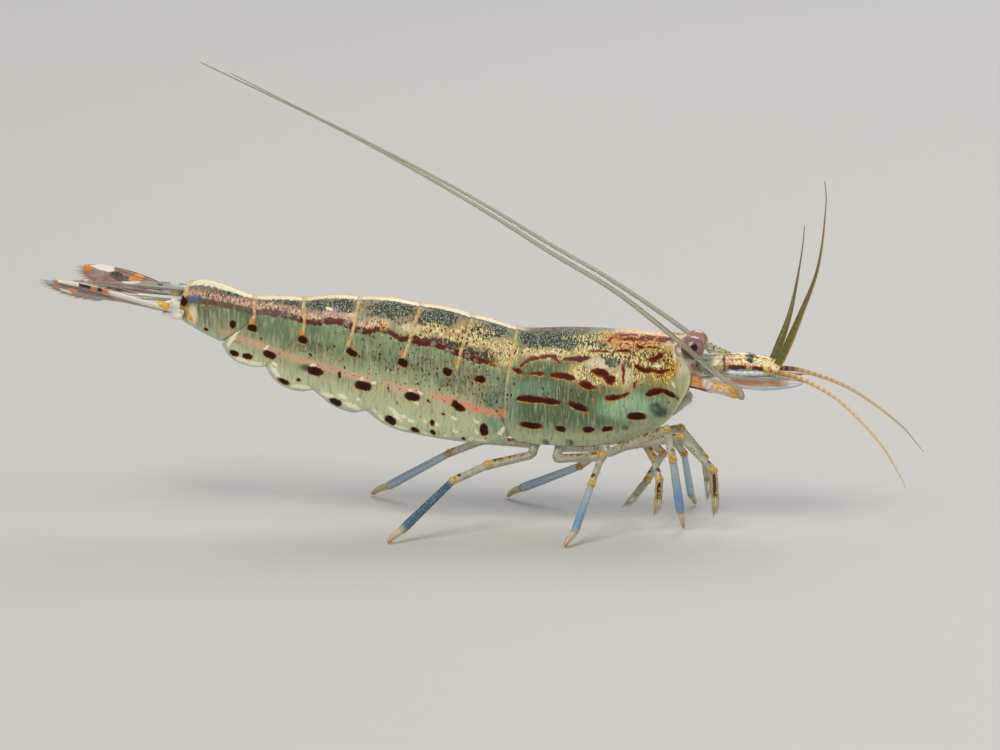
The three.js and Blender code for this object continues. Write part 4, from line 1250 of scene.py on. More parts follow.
for name, side in SIDES.items():
    for piece, node, route, girths, skin in (
        ("antenna_whip", "antenna", ANTENNA_ROUTES, [0.18, 0.175, 0.165, 0.14, 0.11, 0.07, 0.04],
         antenna_skin),
        ("outer_whip", "antennule_outer", OUTER_WHIPS, [0.3, 0.29, 0.2, 0.12, 0.08, 0.05, 0.03],
         outer_skin),
        ("inner_whip", "antennule_inner", INNER_WHIPS, [0.22, 0.16, 0.14, 0.12, 0.1, 0.07, 0.03],
         inner_skins[name]),
    ):
        made = whip(mirrored(route[name], side), girths)
        show(f"{piece}_{name}", [made], skin, "feeler", f"{node}_{name}")

# %% [markdown]
# ## Joints of the feelers
# The stalk under the antennule's whips has three joints, flat above and pale below, each wider at its
# far end. The antenna grows from a short thick base that also carries a broad blade, the scale.
# A jointed stalk is a row of overlapping rods, so that each joint shows as a real step.

# %% Jointed rods
JOINT_FORM = [(-0.04, 0.5), (0.0, 0.8), (0.06, 0.93), (0.2, 0.9), (0.5, 0.93), (0.8, 1.0),
              (0.93, 1.04), (1.0, 0.93), (1.05, 0.6)]


def jointed(joints, sides=14, flat=1.0):
    """Overlapping rods through (x, y, z, radius) joints. The note stage counts the joints."""
    parts = []
    for number, (near, far) in enumerate(zip(joints, joints[1:])):
        start, end = np.array(near[:3], float), np.array(far[:3], float)
        fine = np.linspace(JOINT_FORM[0][0], JOINT_FORM[-1][0], 22)
        radius = (near[3] + (far[3] - near[3]) * fine) * np.interp(fine, *zip(*JOINT_FORM))
        path = start + (end - start) * fine[:, None]
        parts.append(rod(path, radius, sides, flat, stage=number + np.clip(fine, 0, 1)))
    return parts


ANTENNULE_STEM = [(13.9, 0.7, 11.3, 0.6), (15.6, 0.92, 11.45, 0.54), (17.5, 1, 11.45, 0.5),
                  (19.4, 1, 11.1, 0.44)]
ANTENNA_BASE = [(13.4, 1.2, 10.25, 0.54), (15.0, 2.08, 9.98, 0.46), (16.65, 2.5, 9.62, 0.4)]


def stem_finish():
    """The antennule's stem: gold over a broken red-brown line, with one slate saddle and painted
    highlights along its upper side.
    """
    box = PaintBox("stem", Roughness=0.3, IOR=1.45, Coat_Weight=0.4, Coat_Roughness=0.1,
                   Subsurface_Weight=0.2, Subsurface_Scale=0.3 * MM)
    wander = box.noise(0.3, 3) - 0.5
    top = box.note("top") + wander * 0.7
    zone = box.note("zone") + wander * 0.6
    patchy = box.noise(0.24, 2)
    gold = box.tone(patchy, 0.38, 0.6, "BF741A", "FFDC5E")
    box.colour = box.tone(top, -0.75, -0.6, "C9D9DA", gold)
    # Painted highlights: near-white flecks on the upper side of the gold joints.
    bright = box.fade(box.noise(0.2, 2), 0.48, 0.54) * box.fade(top, -0.3, 0)
    box.lay(bright, "FFF8DC")
    box.lay(box.between(zone, 15.8, 16.4), box.mix(0.5, box.colour, "C87840"))
    line = box.between(top, -0.7, -0.02, 0.07)
    dashes = box.between(zone, 15.95, 17.15) + box.between(zone, 17.6, 18.35)
    box.lay(line * dashes, "6E2410")
    saddle = box.between(zone, 17.2, 17.7) * box.fade(top, 0.3, 0.5)
    box.lay(saddle, box.tone(patchy, 0.4, 0.6, "33414C", "5E5040"))
    box.lay(box.dots(0.3, 0.22, 0.25), "6A3416")
    first = box.fade(zone, 15.75, 15.55)
    cream = box.tone(patchy, 0.4, 0.6, "D6C69C", "FBEFC8")
    clear = box.tone(patchy, 0.4, 0.6, "8E9A80", "AFB499")
    box.lay(first, box.tone(zone, 14.7, 15.1, clear, cream))
    box.lay(box.between(zone, 15.62, 15.78, 0.05), "6A3A1C")
    pale = box.tone(patchy, 0.4, 0.6, "C2D6DE", "F2F6F0")
    box.lay(box.note("sheath"), pale)
    box.relief(box.noise(0.2, 3), 0.07)
    return box.done()


def base_finish():
    """The antenna's base: an orange root, then gold spots over pink and white."""
    box = PaintBox("base", Roughness=0.3, IOR=1.42, Coat_Weight=0.4, Coat_Roughness=0.1,
                   Subsurface_Weight=0.2, Subsurface_Scale=0.3 * MM)
    wander = box.noise(0.28, 3) - 0.5
    top = box.note("top") + wander * 0.8
    zone = box.note("zone") + wander * 0.5
    box.colour = box.tone(box.noise(0.3, 2), 0.4, 0.6, "DFCBB8", "F4F0E2")
    box.lay(box.between(top, -0.5, -0.1) * 0.6, "D9A79A")
    gold = box.tone(box.noise(0.22, 2), 0.4, 0.6, "E39A18", "FFD84A")
    spotty = box.fade(box.noise(0.32, 1), 0.4, 0.47)
    over = spotty * box.fade(zone, 14.7, 15.0) * box.fade(top, 0.05, 0.25)
    box.lay(over, gold)
    box.lay(box.fade(zone, 15.95, 16.2), "F0B850")
    root = box.tone(box.noise(0.35, 2), 0.4, 0.55, "E88A1E", "E3B488")
    box.lay(box.fade(zone, 14.35, 14.15), root)
    under = box.fade(top, -0.4, -0.6) * box.fade(zone, 14.6, 14.4)
    box.lay(under, "541A10")
    box.relief(box.noise(0.2, 3), 0.05)
    return box.done()


def with_zone(parts):
    """Adds the place along the body as a note."""
    return [with_notes(part, zone=part["points"][:, 0]) for part in parts]


stem_skin, base_skin = stem_finish(), base_finish()
for name, side in SIDES.items():
    stem = jointed(mirrored(ANTENNULE_STEM, side), 18, 1.15)
    spine = smooth_path(mirrored([(14.0, 1.3, 11.3), (15.0, 1.62, 11.45), (15.9, 1.7, 11.5)], side), 8)
    stem.append(rod(spine, [0.3, 0.28, 0.25, 0.2, 0.15, 0.1, 0.06, 0.015], 10))
    under = smooth_path(mirrored([(15.7, 1.1, 10.95), (16.6, 1.2, 10.82), (17.7, 1.2, 10.82),
                                  (18.9, 1.1, 10.85)], side), 16)
    girth = taper(16, [0, 0.1, 0.5, 0.9, 1], [0.05, 0.2, 0.24, 0.2, 0.08])
    stem.append(rod(under, girth, 12, 1.1, sheath=1.0))
    show(f"antennule_stem_{name}", with_zone(stem), stem_skin, "flesh", f"antennule_{name}")
    base = jointed(mirrored(ANTENNA_BASE, side), 18)
    show(f"antenna_root_{name}", with_zone(base), base_skin, "flesh", f"antenna_base_{name}")

# %% [markdown]
# ## Blades
# The scale beside each feeler, the swimming legs, the tail spine and the four fan blades are all thin
# leaves with a thicker rib and, on most, a fringe of bristles. Each is swept from its root to its tip
# through flat rings, wide where the outline says.

# %% Leaf
def leaf(root, tip, widths, thickness, roll=0.0, rib=None, arch=0.0, stations=56, sides=36):
    """A closed blade. widths: (share, half width to the left, half width to the right)."""
    root, tip = np.array(root, float), np.array(tip, float)
    way = unit(tip - root)
    level = unit(np.cross([0, 0, 1], way))
    thick = np.cross(way, level)
    level, thick = (level * math.cos(roll) + thick * math.sin(roll),
                    thick * math.cos(roll) - level * math.sin(roll))
    share = np.sin(np.linspace(0, math.pi / 2, stations))
    left = smooth_through([(s, w) for s, w, _ in widths])(share)
    right = smooth_through([(s, w) for s, _, w in widths])(share)
    angle = ring_angles(sides)
    across = np.cos(angle)[None, :] + 0 * share[:, None]
    reach = np.where(across > 0, right[:, None], left[:, None]) * across
    profile = np.sin(angle)[None, :] * thickness / 2 * (1 - 0.6 * ease(share, 0.1, 1))[:, None]
    if rib is not None:
        place, height, spread = rib
        ridge = np.exp(-((across - place) / spread) ** 2) * (1 - 0.7 * share[:, None])
        profile = profile + np.sign(np.sin(angle)) * height * ridge
    bend = arch * np.sin(math.pi * share)[:, None]
    line = root + way * np.linalg.norm(tip - root) * share[:, None]
    rings = line[:, None] + level * reach[..., None] + thick * (profile + bend)[..., None]
    part = closed_loft(rings, {"across": across, "reach": share})
    part["rim"] = [line + level * w[:, None] + thick * bend for w in (-left, right)]
    part["axes"] = (way, level, thick)
    part["share"] = share
    return part


def points_along(line, shares, places):
    """Points of a line at some places, when its own points lie at shares of its length."""
    return np.stack([np.interp(places, shares, axis) for axis in line.T], 1)


def fringe(part, which, start, length, count, lean=1.0, seed=3):
    """Bristles along one edge of a leaf from a share of its length to the tip."""
    line = part["rim"][which]
    way, level, _ = part["axes"]
    places = np.linspace(start, 0.998, count)
    roots = points_along(line, part["share"], places)
    out = level * (1 if which else -1)
    turn = ease(places, 0.6, 1.0)[:, None]
    ways = out * (1 - 0.75 * turn) * 0.8 + way * (lean * 0.6 + turn)
    return bristles(roots, ways, length, seed=seed)


# White also paints glints: on the tail spine and on one lump at an outer blade's root.
BLADE_COLOURS = {"brown": "6A4A3C", "orange": "E98A22", "blue": "AECBDF", "white": "FFFBE6",
                 "dark": "2E211B", "gold": "FFC23A"}


def blade_finish(name, body, middle, rib_colour, bright, clear):
    """Brown and clear, ribbed lengthwise, with the marks of each blade; grey-green where clear."""
    box = PaintBox(name, Roughness=0.25, IOR=1.42, Coat_Weight=0.4, Transmission_Weight=clear)
    across = box.note("across")
    wander = (box.noise(0.3, 3) - 0.5) * 0.8
    box.colour = box.tone(box.noise(0.8, 3), 0.35, 0.65, body, middle)
    glassy = box.note("clear") + wander
    box.lay(box.fade(glassy, 0.2, 0.8, 0, 0.85), "A3ADA0")
    ribs = box.sum("SINE", across * 24)
    box.lay(box.fade(ribs, 0.5, 1.0, 0, 0.25), bright)
    line = box.note("rib") + wander * 0.2
    box.lay(box.fade(line, 0.2, 0.1), rib_colour)
    for spot, over in BLADE_COLOURS.items():
        box.lay(box.fade(box.note(spot) + wander, 0.35, 0.6), over)
    box.lay(box.fade(box.note("bristle"), 0.5, 0.6), "C9B79A")
    box.relief(box.noise(0.2, 3), 0.03)
    return box.done()

# %% Antennal scales
def coloured(part, turn, rib_place=0.8, **marks):
    """
    Adds the notes that a blade's finish reads. turn is 1 where the outer edge is the right one, else
    -1. A mark is its share of the length, its place from -1 (inner edge) to 1, and its half sizes.
    """
    notes = part["notes"]
    share, outer = notes["reach"], notes["across"] * turn
    notes["rib"] = np.abs(outer - rib_place) * 0.9
    for name in BLADE_COLOURS:
        notes[name] = np.zeros(len(share))
        for place, beside, long, wide in marks.get(name, ()):
            away = np.sqrt(((share - place) / long) ** 2 + ((outer - beside) / wide) ** 2)
            notes[name] = np.maximum(notes[name], 1 - ease(away, 0.7, 1.3))
    return part


SCALE_WIDTHS = [(0, 0.4, 0.15), (0.12, 0.75, 0.3), (0.3, 0.85, 0.6), (0.45, 0.85, 1.05),
                (0.65, 0.8, 1.25), (0.82, 0.6, 0.95), (0.95, 0.3, 0.5), (1, 0.06, 0.1)]
SCALE_MARKS = {"blue": [(0.1, 0.6, 0.1, 0.4), (0.8, 1, 0.32, 0.15)],
               "white": [(0.2, 0.1, 0.1, 0.4), (0.35, -0.75, 0.12, 0.2), (0.62, -0.8, 0.1, 0.15)]}
scale_skin = blade_finish("scale", "B5806A", "C79C86", "CFC0B4", "DDBFAA", 0.25)
for name, side in SIDES.items():
    widths = [(s, a, b) if side > 0 else (s, b, a) for s, a, b in SCALE_WIDTHS]
    blade = leaf((14, 1.75 * side, 10.4), (21.05, 1.95 * side, 10.3), widths, 0.34,
                 -side * 0.3, (0.86 * side, 0.07, 0.12), stations=60)
    coloured(blade, side, 0.9, **SCALE_MARKS)
    inner_edge = 1 - ease(blade["notes"]["across"] * side, -0.6, 0.25)
    near_root = 1 - ease(blade["notes"]["reach"], 0.15, 0.4)
    blade["notes"]["clear"] = np.maximum(inner_edge, near_root)
    hair = fringe(blade, 0 if side > 0 else 1, 0.3, 0.6, 70, seed=5)
    show(f"antenna_blade_{name}", [blade, hair], scale_skin, "fan", f"antenna_scale_{name}")

# %% [markdown]
# ## Legs
# Five pairs of legs: two short pairs end in small claws with brushes, three long pairs walk. They are
# clear as glass, with golden knees and wrists, brown spots beside them, sky-blue shanks and cream
# toes. Each leg is a jointed rod, and its toe is a separate curved claw.

# %% Leg finish
def leg_finish():
    box = PaintBox("leg", Roughness=0.2, IOR=1.38, Coat_Weight=0.4, Coat_Roughness=0.08,
                   Transmission_Weight=0.5)
    stage, top, walks, far = box.notes("stage", "top", "walks", "far")
    wander = box.noise(0.25, 3) - 0.5
    box.colour = box.tone(box.noise(0.7, 3), 0.35, 0.65, "C3C8B0", "E6E3CC")
    box.lay(box.fade(box.noise(0.35, 3), 0.52, 0.64, 0, 0.7), "F3E3B8")
    box.lay(box.dots(0.2, 0.22, 0.28), "8C7040")
    shank = box.between(stage, 3.05, 3.95, 0.04) * walks
    blue = box.tone(stage, 3.1, 3.85, "D3DCDE", "7DB2E0")
    blue = box.mix(far * 0.8, blue, "D6E4F2")
    blue = box.mix(box.note("dusk"), blue, "4A687C")
    blue = box.mix(box.fade(box.noise(0.3, 2), 0.35, 0.65, 0, 0.3), blue, "9CBCCF")
    blue = box.mix(box.dots(0.12, 0.32, 0.24), blue, "DCEDF4")
    box.lay(shank, blue)
    toe = box.fade(stage, 3.97, 4.08) * walks
    box.lay(toe, box.tone(stage, 4.45, 5.0, "F6E6C6", "DDB07C"))
    upper = top + wander
    thigh = box.between(stage, 1.15, 1.95, 0.05) * box.fade(upper, 0.35, 0.5)
    broken = box.fade(box.noise(0.35, 2), 0.42, 0.5)
    box.lay(thigh * broken, box.tone(box.noise(0.2, 2), 0.42, 0.58, "6E4420", "D89A34"))
    box.lay(thigh * box.dots(0.3, 0.3, 0.3), "F2CC52")
    hand = box.fade(stage, 3.0, 3.1) * box.fade(walks, 0.6, 0.4)
    box.lay(hand * 0.8, box.mix(far, "D9C48E", "CDD2C0"))
    stripe = box.sum("ABSOLUTE", top + wander * 0.6)
    stripe = box.fade(stripe, 0.5, 0.35) * box.fade(stage, 3.75, 3.6) * box.fade(far, 0, 1, 1, 0.35)
    box.lay(hand * stripe, "5A3A1A")
    box.lay(hand * box.dots(0.24, 0.45, 0.34), "F2CA42")
    dark = box.note("dark") + wander * 0.25
    box.lay(box.fade(dark, 0.04, -0.04), "47210E")
    gold = box.note("gold") + wander * 0.3
    shine = box.tone(box.noise(0.2, 2), 0.38, 0.54, "F2A21E", "FFE886")
    box.lay(box.fade(gold, 0.04, -0.04), shine)
    box.lay(box.fade(box.note("bristle"), 0.5, 0.6), "D9C79A")
    box.relief(box.noise(0.2, 3), 0.03)
    return box.done()


leg_skin = leg_finish()

# %% Leg shapes
# Each leg: x, distance from the middle and height of its joints; then the joints' radii.
LEGS = {
    "1_right": [(9.9, 0.8, 7.5), (10, 1.1, 6.1), (10.8, 1.5, 4.9), (11.3, 2.5, 3.5), (11.2, 2.9, 1.3)],
    "1_left": [(9.9, 0.8, 7.5), (10, 1.1, 6.1), (11.4, 1.5, 4.6), (10.3, 1.3, 2.7), (8.9, 0.9, 0.9)],
    "2_right": [(8.3, 1, 7), (8.7, 1.5, 5.6), (12.8, 2.6, 6.5), (15.05, 3.1, 4.3), (15.25, 3.2, 1.35)],
    "2_left": [(8.3, 1, 7), (8.7, 1.5, 5.6), (12.6, 2.3, 6.3), (14.3, 2.9, 4.1), (14.7, 2.7, 1.3)],
    "3_right": [(6.6, 1.2, 6.8), (7.7, 2.6, 5.3), (11.8, 3.7, 7.2), (12.27, 4, 5.17), (12.8, 3.1, 1.3),
                (13, 2.5, 0.05)],
    "3_left": [(6.6, 1.2, 6.8), (7.6, 2.6, 5.2), (11.6, 3.9, 5.9), (12.8, 4.3, 4.1), (13.3, 5.4, 0.9),
               (13.6, 6.1, 0.05)],
    "4_right": [(4.6, 1.2, 6.7), (4.1, 2, 4.75), (7.4, 4.3, 5.4), (6.8, 6.2, 3.8), (5.8, 8.4, 0.9),
                (5.2, 9.4, 0.05)],
    "4_left": [(4.6, 1.2, 6.7), (4.3, 2, 4.8), (7.2, 3.9, 4.5), (5.3, 5.2, 2.9), (0.9, 7, 0.85),
               (-0.15, 7.6, 0.05)],
    "5_right": [(2.9, 1.2, 6.7), (2.4, 2, 5), (-0.5, 4, 4.6), (-2.75, 5.8, 3.8), (-6, 8.4, 0.8),
                (-6.8, 9.3, 0.05)],
    "5_left": [(2.9, 1.2, 6.7), (2.4, 2, 5), (-1.4, 3.6, 5), (-4.1, 4.9, 3.75), (-8.8, 7, 0.85),
               (-10.1, 7.6, 0.05)],
}
CLAW_RADII = {"1": (0.38, 0.32, 0.28, 0.27, 0.25), "2": (0.4, 0.33, 0.3, 0.26, 0.25)}
WALKING_RADII = (0.42, 0.34, 0.32, 0.27, 0.25, 0.2)


def limb_hairs(near, far, count, length, seed):
    """Sparse bristles along one joint of a limb."""
    dice = np.random.default_rng(seed)
    start, end = np.array(near[:3]), np.array(far[:3])
    way = unit(end - start)
    side = unit(np.cross(way, [0.3, 1, 0.2]))
    other = np.cross(way, side)
    share = np.linspace(0.12, 0.95, count)
    turn = dice.uniform(0, 2 * math.pi, count)
    out = np.cos(turn)[:, None] * side + np.sin(turn)[:, None] * other
    radius = near[3] + (far[3] - near[3]) * share
    roots = start + (end - start) * share[:, None] + out * radius[:, None] * 0.8
    return bristles(roots, out * 0.8 + way * 0.6, length, 0.016, 0.02, seed)


def shank(joints):
    """The long fifth joint: a flat strip that broadens a little towards the toe."""
    wrist, ankle = np.array(joints[3][:3]), np.array(joints[4][:3])
    share = np.linspace(-0.03, 1.03, 28)
    path = wrist + (ankle - wrist) * share[:, None]
    girth = np.interp(share, [-0.03, 0, 0.06, 0.5, 0.9, 1.0, 1.03],
                      [0.1, 0.24, 0.27, 0.3, 0.33, 0.3, 0.12])
    return rod(path, girth, 14, 0.8, stage=3 + np.clip(share, 0.02, 0.98))


def toe(joints):
    """The curved last joint of a walking leg, with a row of fine spines under it."""
    ankle, tip = np.array(joints[-2][:3]), np.array(joints[-1][:3]) + [0, 0, 0.04]
    bow = (ankle + tip) / 2 + np.array([0, 0, 0.12]) + unit(tip - ankle) * 0.12
    path = smooth_path([ankle, bow, tip], 16)
    radius = taper(16, [0, 0.08, 0.3, 0.6, 0.85, 0.95, 1], [0.2, 0.26, 0.26, 0.22, 0.16, 0.11, 0.05])
    claw = rod(path, radius, 12, 0.85, stage=4.0 + np.linspace(0.05, 1, 16))
    roots = path[3:10]
    ways = np.tile(unit(tip - ankle) * 0.8 + [0, 0, -0.35], (len(roots), 1))
    spines = bristles(roots, ways, 0.3, 0.03, 0, 7)
    return [claw, spines]


def claw(joints, seed):
    """A small claw: a palm, two slim fingers side by side and a brush on each."""
    wrist, tip = np.array(joints[-2][:3]), np.array(joints[-1][:3])
    way = unit(tip - wrist)
    out = unit(np.cross(way, [0, 1, 0.2]))
    long = np.linalg.norm(tip - wrist)
    palm = smooth_path([wrist, wrist + way * long * 0.25, wrist + way * long * 0.58], 14)
    girth = taper(14, [0, 0.15, 0.6, 1], [0.17, 0.26, 0.29, 0.22])
    made = [rod(palm, girth, 14, 0.8, stage=np.linspace(3.0, 3.6, 14))]
    for sign in (-1, 1):
        root = wrist + way * long * 0.5 + out * 0.11 * sign
        end = tip - out * 0.12 + out * 0.04 * sign - way * (0.18 if sign > 0 else 0)
        finger = smooth_path([root, root + way * long * 0.25 + out * 0.05 * sign, end], 12)
        radius = taper(12, [0, 0.5, 0.85, 1], [0.15, 0.12, 0.09, 0.04])
        made.append(rod(finger, radius, 10, 0.8, stage=np.linspace(3.6, 4, 12)))
        ends = np.repeat(finger[-5:], 4, axis=0)
        dice = np.random.default_rng(seed + sign)
        ways = way + out * sign * 0.2 + dice.normal(0, 0.25, (len(ends), 3))
        made.append(bristles(ends, ways, 0.38, 0.013, 0, seed))
    return made


def joint_spots(joints):
    """Where gold and brown sit on a leg: x, y, z and radius at its knee, its wrist and its thigh."""
    gold, dark = [], []
    for number in (2, 3):
        place, before = np.array(joints[number][:3]), np.array(joints[number - 1][:3])
        girth = joints[number][3]
        back = unit(before - place)
        gold.append((*(place + [0, 0, 0.12]), girth + 0.08))
        dark.append((*(place + back * (girth + 0.2) + [0, 0, girth * 0.8]), 0.2))
        for step, reach in enumerate((0.95, 1.3, 1.7, 2.1) if number == 2 else ()):
            (gold if step % 2 else dark).append((*(place + back * reach + [0, 0, girth * 0.85]), 0.13))
    return gold, dark


def add_spots(parts, joints):
    """Notes of the distance from each point to the nearest gold and the nearest brown spot."""
    for name, spots in zip(("gold", "dark"), joint_spots(joints)):
        for part in parts:
            away = [np.linalg.norm(part["points"] - s[:3], axis=1) - s[3] for s in spots]
            part["notes"][name] = np.min(away, axis=0)


for number, (key, places) in enumerate(LEGS.items()):
    side = SIDES[key.split("_")[1]]
    radii = CLAW_RADII.get(key[0], WALKING_RADII)
    joints = [(*place, radius) for place, radius in zip(mirrored(places, side), radii)]
    walks = radii is WALKING_RADII
    parts = jointed(joints[:4], 14, 0.85)
    parts += [shank(joints)] + toe(joints) if walks else claw(joints, 20 + number)
    knobs = [ball(joints[n][:3], [joints[n][3] * 1.12] * 3, 10, 14, stage=n) for n in (2, 3)]
    add_spots(parts + knobs, joints)
    for near, far in zip(joints[1:], joints[2:5]):
        parts.append(limb_hairs(near, far, 9, 0.3, 40 + number))
    parts += knobs
    for part in parts:
        spots = {name: part["notes"].get(name, FAR_AWAY) for name in ("gold", "dark")}
        with_notes(part, walks=walks, dusk=key == "5_right", far=side > 0, **spots)
    show(f"leg_limb_{key}", parts, leg_skin, "limb", f"leg_{key}")

# %% [markdown]
# ## Mouth limbs
# The last pair of jaw-feet lies folded under the face, ready to sweep food to the mouth. They are
# short jointed rods, fringed all round, and almost as clear as glass.

# %% Jaw-feet
JAW_FOOT = [(10.7, 0.7, 7.9, 0.42), (12, 0.95, 7.95, 0.36), (13.3, 0.85, 9, 0.3)]
jaw_skin = whip_finish("jaw", ("DDE2CC", "E8EBDA", "DDE1CA", "CCD2B4", "F4F6EA"), 0.5, 0.2, 0.35)
for name, side in SIDES.items():
    joints = mirrored(JAW_FOOT, side)
    parts = jointed(joints, 12)
    for near, far in zip(joints, joints[1:]):
        parts.append(limb_hairs(near, far, 22, 0.45, 60))
    show(f"jaw_foot_{name}", parts, jaw_skin, "limb", f"maxilliped_{name}")

# %% [markdown]
# ## Swimming legs
# Five pairs of soft paddles hang between the side flaps under the tail, each edged with bristles.
# Mostly the flaps hide them, so simple fringed leaves are enough.

# %% Paddles
paddle_skin = blade_finish("paddle", "B9B9A0", "CDC8B2", "D9CFA8", "E3DFD0", 0.35)
PADDLE_PLACES = [-0.35, -4.35, -9.5, -13.5, -17.15]
for number, x in enumerate(PADDLE_PLACES, 1):
    height = float(back_at(x) - belly_at(x))
    wide = 0.2 * float(half_width_at(x))
    for name, side in SIDES.items():
        y = 0.27 * float(half_width_at(x)) * side
        root = (x - 0.1, y, float(belly_at(x)) + 0.3 * height)
        tip = (x + 0.9, y, float(belly_at(x)) - 0.05)
        widths = [(0, wide * 0.6, wide * 0.6), (0.4, wide, wide), (0.8, wide * 0.8, wide * 0.8),
                  (1, 0.05, 0.05)]
        blade = coloured(leaf(root, tip, widths, 0.26, stations=24, sides=20), side)
        hair = fringe(blade, 0 if side > 0 else 1, 0.4, 0.4, 16, seed=9)
        show(f"paddle_{number}_{name}", [blade, hair], paddle_skin, "fan", f"swimmeret_{number}_{name}")

# %% [markdown]
# ## The tail fan
# A narrow middle spine and two blades on each side make the fan. The outer blades have a stiff
# white-gold rib along their outer margin, broken by orange knots. The blades are brown and clear, and
# all their inner and end edges are fringed.

# %% Tail fan
fan_skin = blade_finish("fan", "94705F", "B08E7C", "8A6648", "B9A290", 0.08)
# Each outline: share of the length, half width of the outer side, half width of the inner side.
NEAR_FAN = [(0, 0.3, 0.3), (0.15, 0.4, 0.18), (0.4, 0.7, 0.3), (0.55, 0.82, 0.8),
            (0.7, 0.8, 1.35), (0.85, 0.6, 1.25), (0.96, 0.25, 0.65), (1, 0.04, 0.08)]
FAR_FAN = [(0, 0.3, 0.3), (0.15, 0.5, 0.4), (0.35, 0.95, 0.8), (0.6, 1.15, 1.3),
           (0.85, 0.8, 1.2), (0.96, 0.4, 0.65), (1, 0.06, 0.1)]
INNER_FAN = [(0, 0.28, 0.28), (0.2, 0.6, 0.6), (0.5, 0.9, 0.9), (0.75, 0.85, 0.85),
             (0.92, 0.5, 0.5), (1, 0.06, 0.06)]
RIB_MARKS = {
    "white": [(0.27, 0.9, 0.29, 0.3), (0.855, 0.85, 0.075, 0.35), (0.84, -0.75, 0.045, 0.25)],
    "orange": [(0.59, 0.85, 0.04, 0.4), (0.675, 0.88, 0.02, 0.3), (0.94, 0.8, 0.02, 0.6),
               (0.8, -0.4, 0.04, 0.35), (0.9, -0.9, 0.02, 0.3)],
    "dark": [(0.745, 0.85, 0.04, 0.25), (0.635, 0.9, 0.016, 0.3)], "blue": [(1.0, 0.4, 0.05, 1.4)],
    "brown": [(0.72, 0.1, 0.22, 0.4)],
}
FAR_MARKS = {
    "white": [(0.86, 0.55, 0.1, 0.42)], "brown": [(0.65, 0.05, 0.12, 0.35), (0.45, 0, 0.2, 0.5)],
    "orange": [(0.56, 0.45, 0.05, 0.5), (0.97, 0.2, 0.05, 1.0), (0.75, 1.05, 0.3, 0.1)],
    "dark": [(0.72, 0.3, 0.055, 0.22)],
}
INNER_MARKS = {"orange": [(0.9, 0, 0.03, 0.3)], "white": [(0.95, 0, 0.02, 0.3), (0.1, 0, 0.3, 0.6)]}
FAN = {
    "outer_right": ((-22.2, -1.12, 14.5), (-31.0, -4.6, 17.22), 0.46, NEAR_FAN, RIB_MARKS),
    "outer_left": ((-21.9, 0.95, 14.95), (-30.4, 4.6, 17.1), -0.38, FAR_FAN, FAR_MARKS),
    "inner_right": ((-21.9, -0.38, 15.35), (-30.8, -2.25, 16.3), -0.12, INNER_FAN, INNER_MARKS),
    "inner_left": ((-21.9, 0.38, 15.35), (-30.2, 2.25, 16.3), 0.12, INNER_FAN, INNER_MARKS),
}
# The short stalk of an outer blade: x, breadth share and height from its root, radii and colour.
ROOT_LUMPS = [
    (-0.55, 0.9, 0.55, (0.5, 0.34, 0.62), {"clear": 1, "white": 0.5}),
    (-0.5, 1.3, 0.02, (0.42, 0.34, 0.38), {"white": 1}),
    (-0.25, 1.35, -0.12, (0.3, 0.3, 0.26), {"white": 1}),
    (-0.95, 1.4, 0.06, (0.45, 0.3, 0.16), {"white": 1}),
    (-1.3, 1.85, 0.76, (0.5, 0.24, 0.22), {"gold": 1}),
    (-1.0, 1.9, 0.68, (0.26, 0.22, 0.32), {"gold": 1}),
    # A painted glint: this small white lump stands for light glinting between the gold knot and the
    # stalk.
    (-0.8, 1.95, 0.95, (0.26, 0.2, 0.12), {"white": 1}),
]


def edge_rod(blade, which, side, marks):
    """The stiff outer margin of a blade: a rod along one rim that takes the blade's marks."""
    share = np.linspace(0.02, 0.965, 60)
    line = points_along(blade["rim"][which], blade["share"], share)
    made = rod(line, np.interp(share, [0, 0.1, 0.5, 0.9, 1], [0.12, 0.14, 0.125, 0.09, 0.03]), 12)
    made["notes"]["reach"] = np.interp(made["points"][:, 0], line[::-1, 0], share[::-1])
    made["notes"]["across"] = np.full(len(made["points"]), 0.85 * side)
    return coloured(made, side, 0.85, **marks)


for key, (root, tip, roll, outline, marks) in FAN.items():
    side = SIDES[key.split("_")[1]]
    widths = [(s, b, a) if side < 0 else (s, a, b) for s, a, b in outline]
    outer = key.startswith("outer")
    rib_place = -0.85 * side if outer else 0.0
    bow = -0.08 if outer else 0.0
    blade = leaf(root, tip, widths, 0.3, roll, (rib_place, 0.1, 0.2), bow, stations=90, sides=48)
    coloured(blade, -side, 0.85 if outer else 0, **marks)
    blade["notes"]["clear"] = 1 - ease(blade["notes"]["reach"], 0.2, 0.5)
    parts = [blade, fringe(blade, 0 if side < 0 else 1, 0.55, 0.7, 80, seed=11)]
    if outer:
        parts.append(edge_rod(blade, 1 if side < 0 else 0, -side, marks))
        for ahead, out, up, radii, colours in ROOT_LUMPS:
            place = (root[0] + ahead, root[1] * out, root[2] + up)
            parts.append(with_notes(ball(place, radii), rib=FAR_AWAY, **colours))
    show(f"fan_{key}", parts, fan_skin, "fan", f"uropod_{key}")


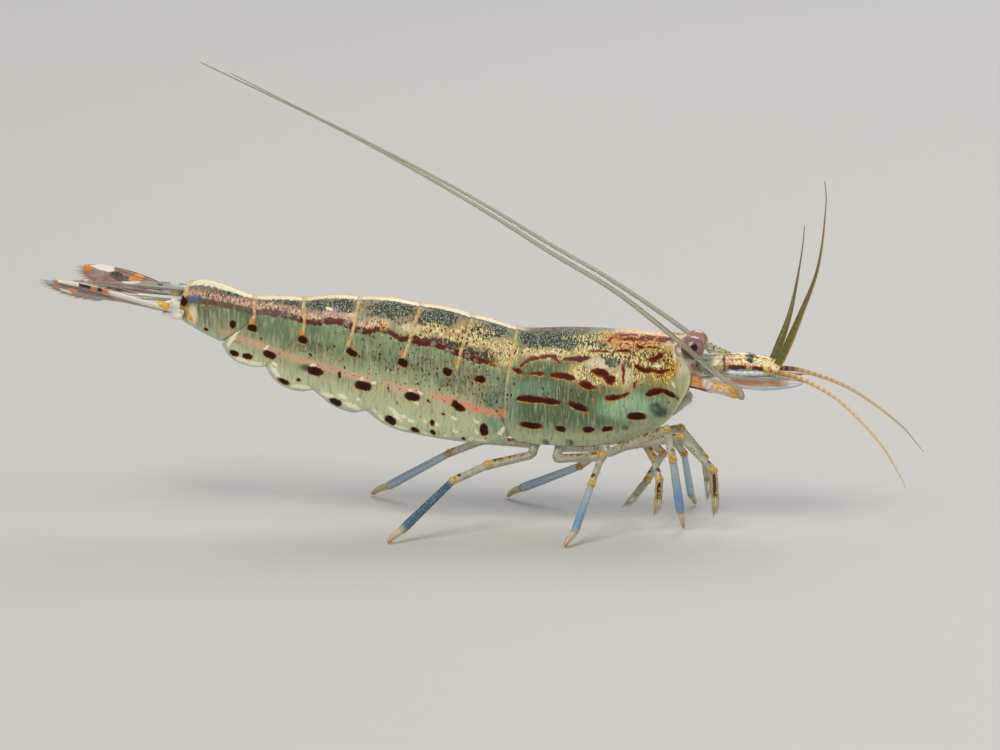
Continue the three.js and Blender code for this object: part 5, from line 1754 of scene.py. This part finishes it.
SPINE_WIDTHS = [(0, 0.85, 0.85), (0.2, 0.95, 0.95), (0.5, 0.72, 0.72), (0.8, 0.42, 0.42),
                (0.97, 0.28, 0.28), (1, 0.1, 0.1)]
# The white marks on the tail spine are painted glints.
SPINE_MARKS = {"white": [(0.62, 0.3, 0.1, 0.6), (0.2, 0, 0.05, 0.5), (0.45, -0.3, 0.05, 0.4)],
               "blue": [(0.03, 0, 0.08, 1.2)], "orange": [(0.42, 0.5, 0.015, 0.3)],
               "dark": [(0.32, 0.7, 0.03, 0.2)]}
spine = coloured(leaf((-21.5, 0, 16.1), (-28.8, 0, 16.45), SPINE_WIDTHS, 0.55, 0, None, 0.12), 1,
                 0.0, **SPINE_MARKS)
spine["notes"]["clear"] = 1 - ease(spine["notes"]["reach"], 0.6, 0.9)
show("tail_spine", [spine], fan_skin, "fan", "telson")

# %% [markdown]
# ## Floor and light
# A museum model stands on a plain pale ground under soft light. One large lamp stands high on the
# near side, a weaker one fills from the other, and a third behind picks out the clear edges.

# %% Floor and light
def floor_finish():
    box = PaintBox("pale_floor", Roughness=0.65)
    box.colour = "D8D5CE"
    return box.done()


FLOOR_SIDE = 4.0
bpy.ops.mesh.primitive_plane_add(size=FLOOR_SIDE)
floor = bpy.context.object
floor.name = "floor"
floor.data.materials.append(floor_finish())


def lamp(name, place, size, watts, colour=(1, 1, 1)):
    light = bpy.data.lights.new(name, "AREA")
    light.size = size
    light.energy = watts
    light.color = colour
    holder = put(name, light)
    holder.location = place
    holder.rotation_euler = (-Vector(place)).to_track_quat("-Z", "Y").to_euler()


lamp("key", (-0.9, -1.8, 2.4), 1.6, 52, (1, 0.96, 0.9))
lamp("fill", (2.2, -0.8, 1.4), 1.8, 12, (0.92, 0.96, 1))
lamp("rim", (0.4, 2.2, 2.0), 1.6, 24)
bpy.context.scene.view_settings.view_transform = "Standard"
world = bpy.data.worlds.new("studio")
bpy.context.scene.world = world
world.use_nodes = True
world.node_tree.nodes["Background"].inputs[0].default_value = (0.9, 0.93, 1, 1)
world.node_tree.nodes["Background"].inputs[1].default_value = 0.3
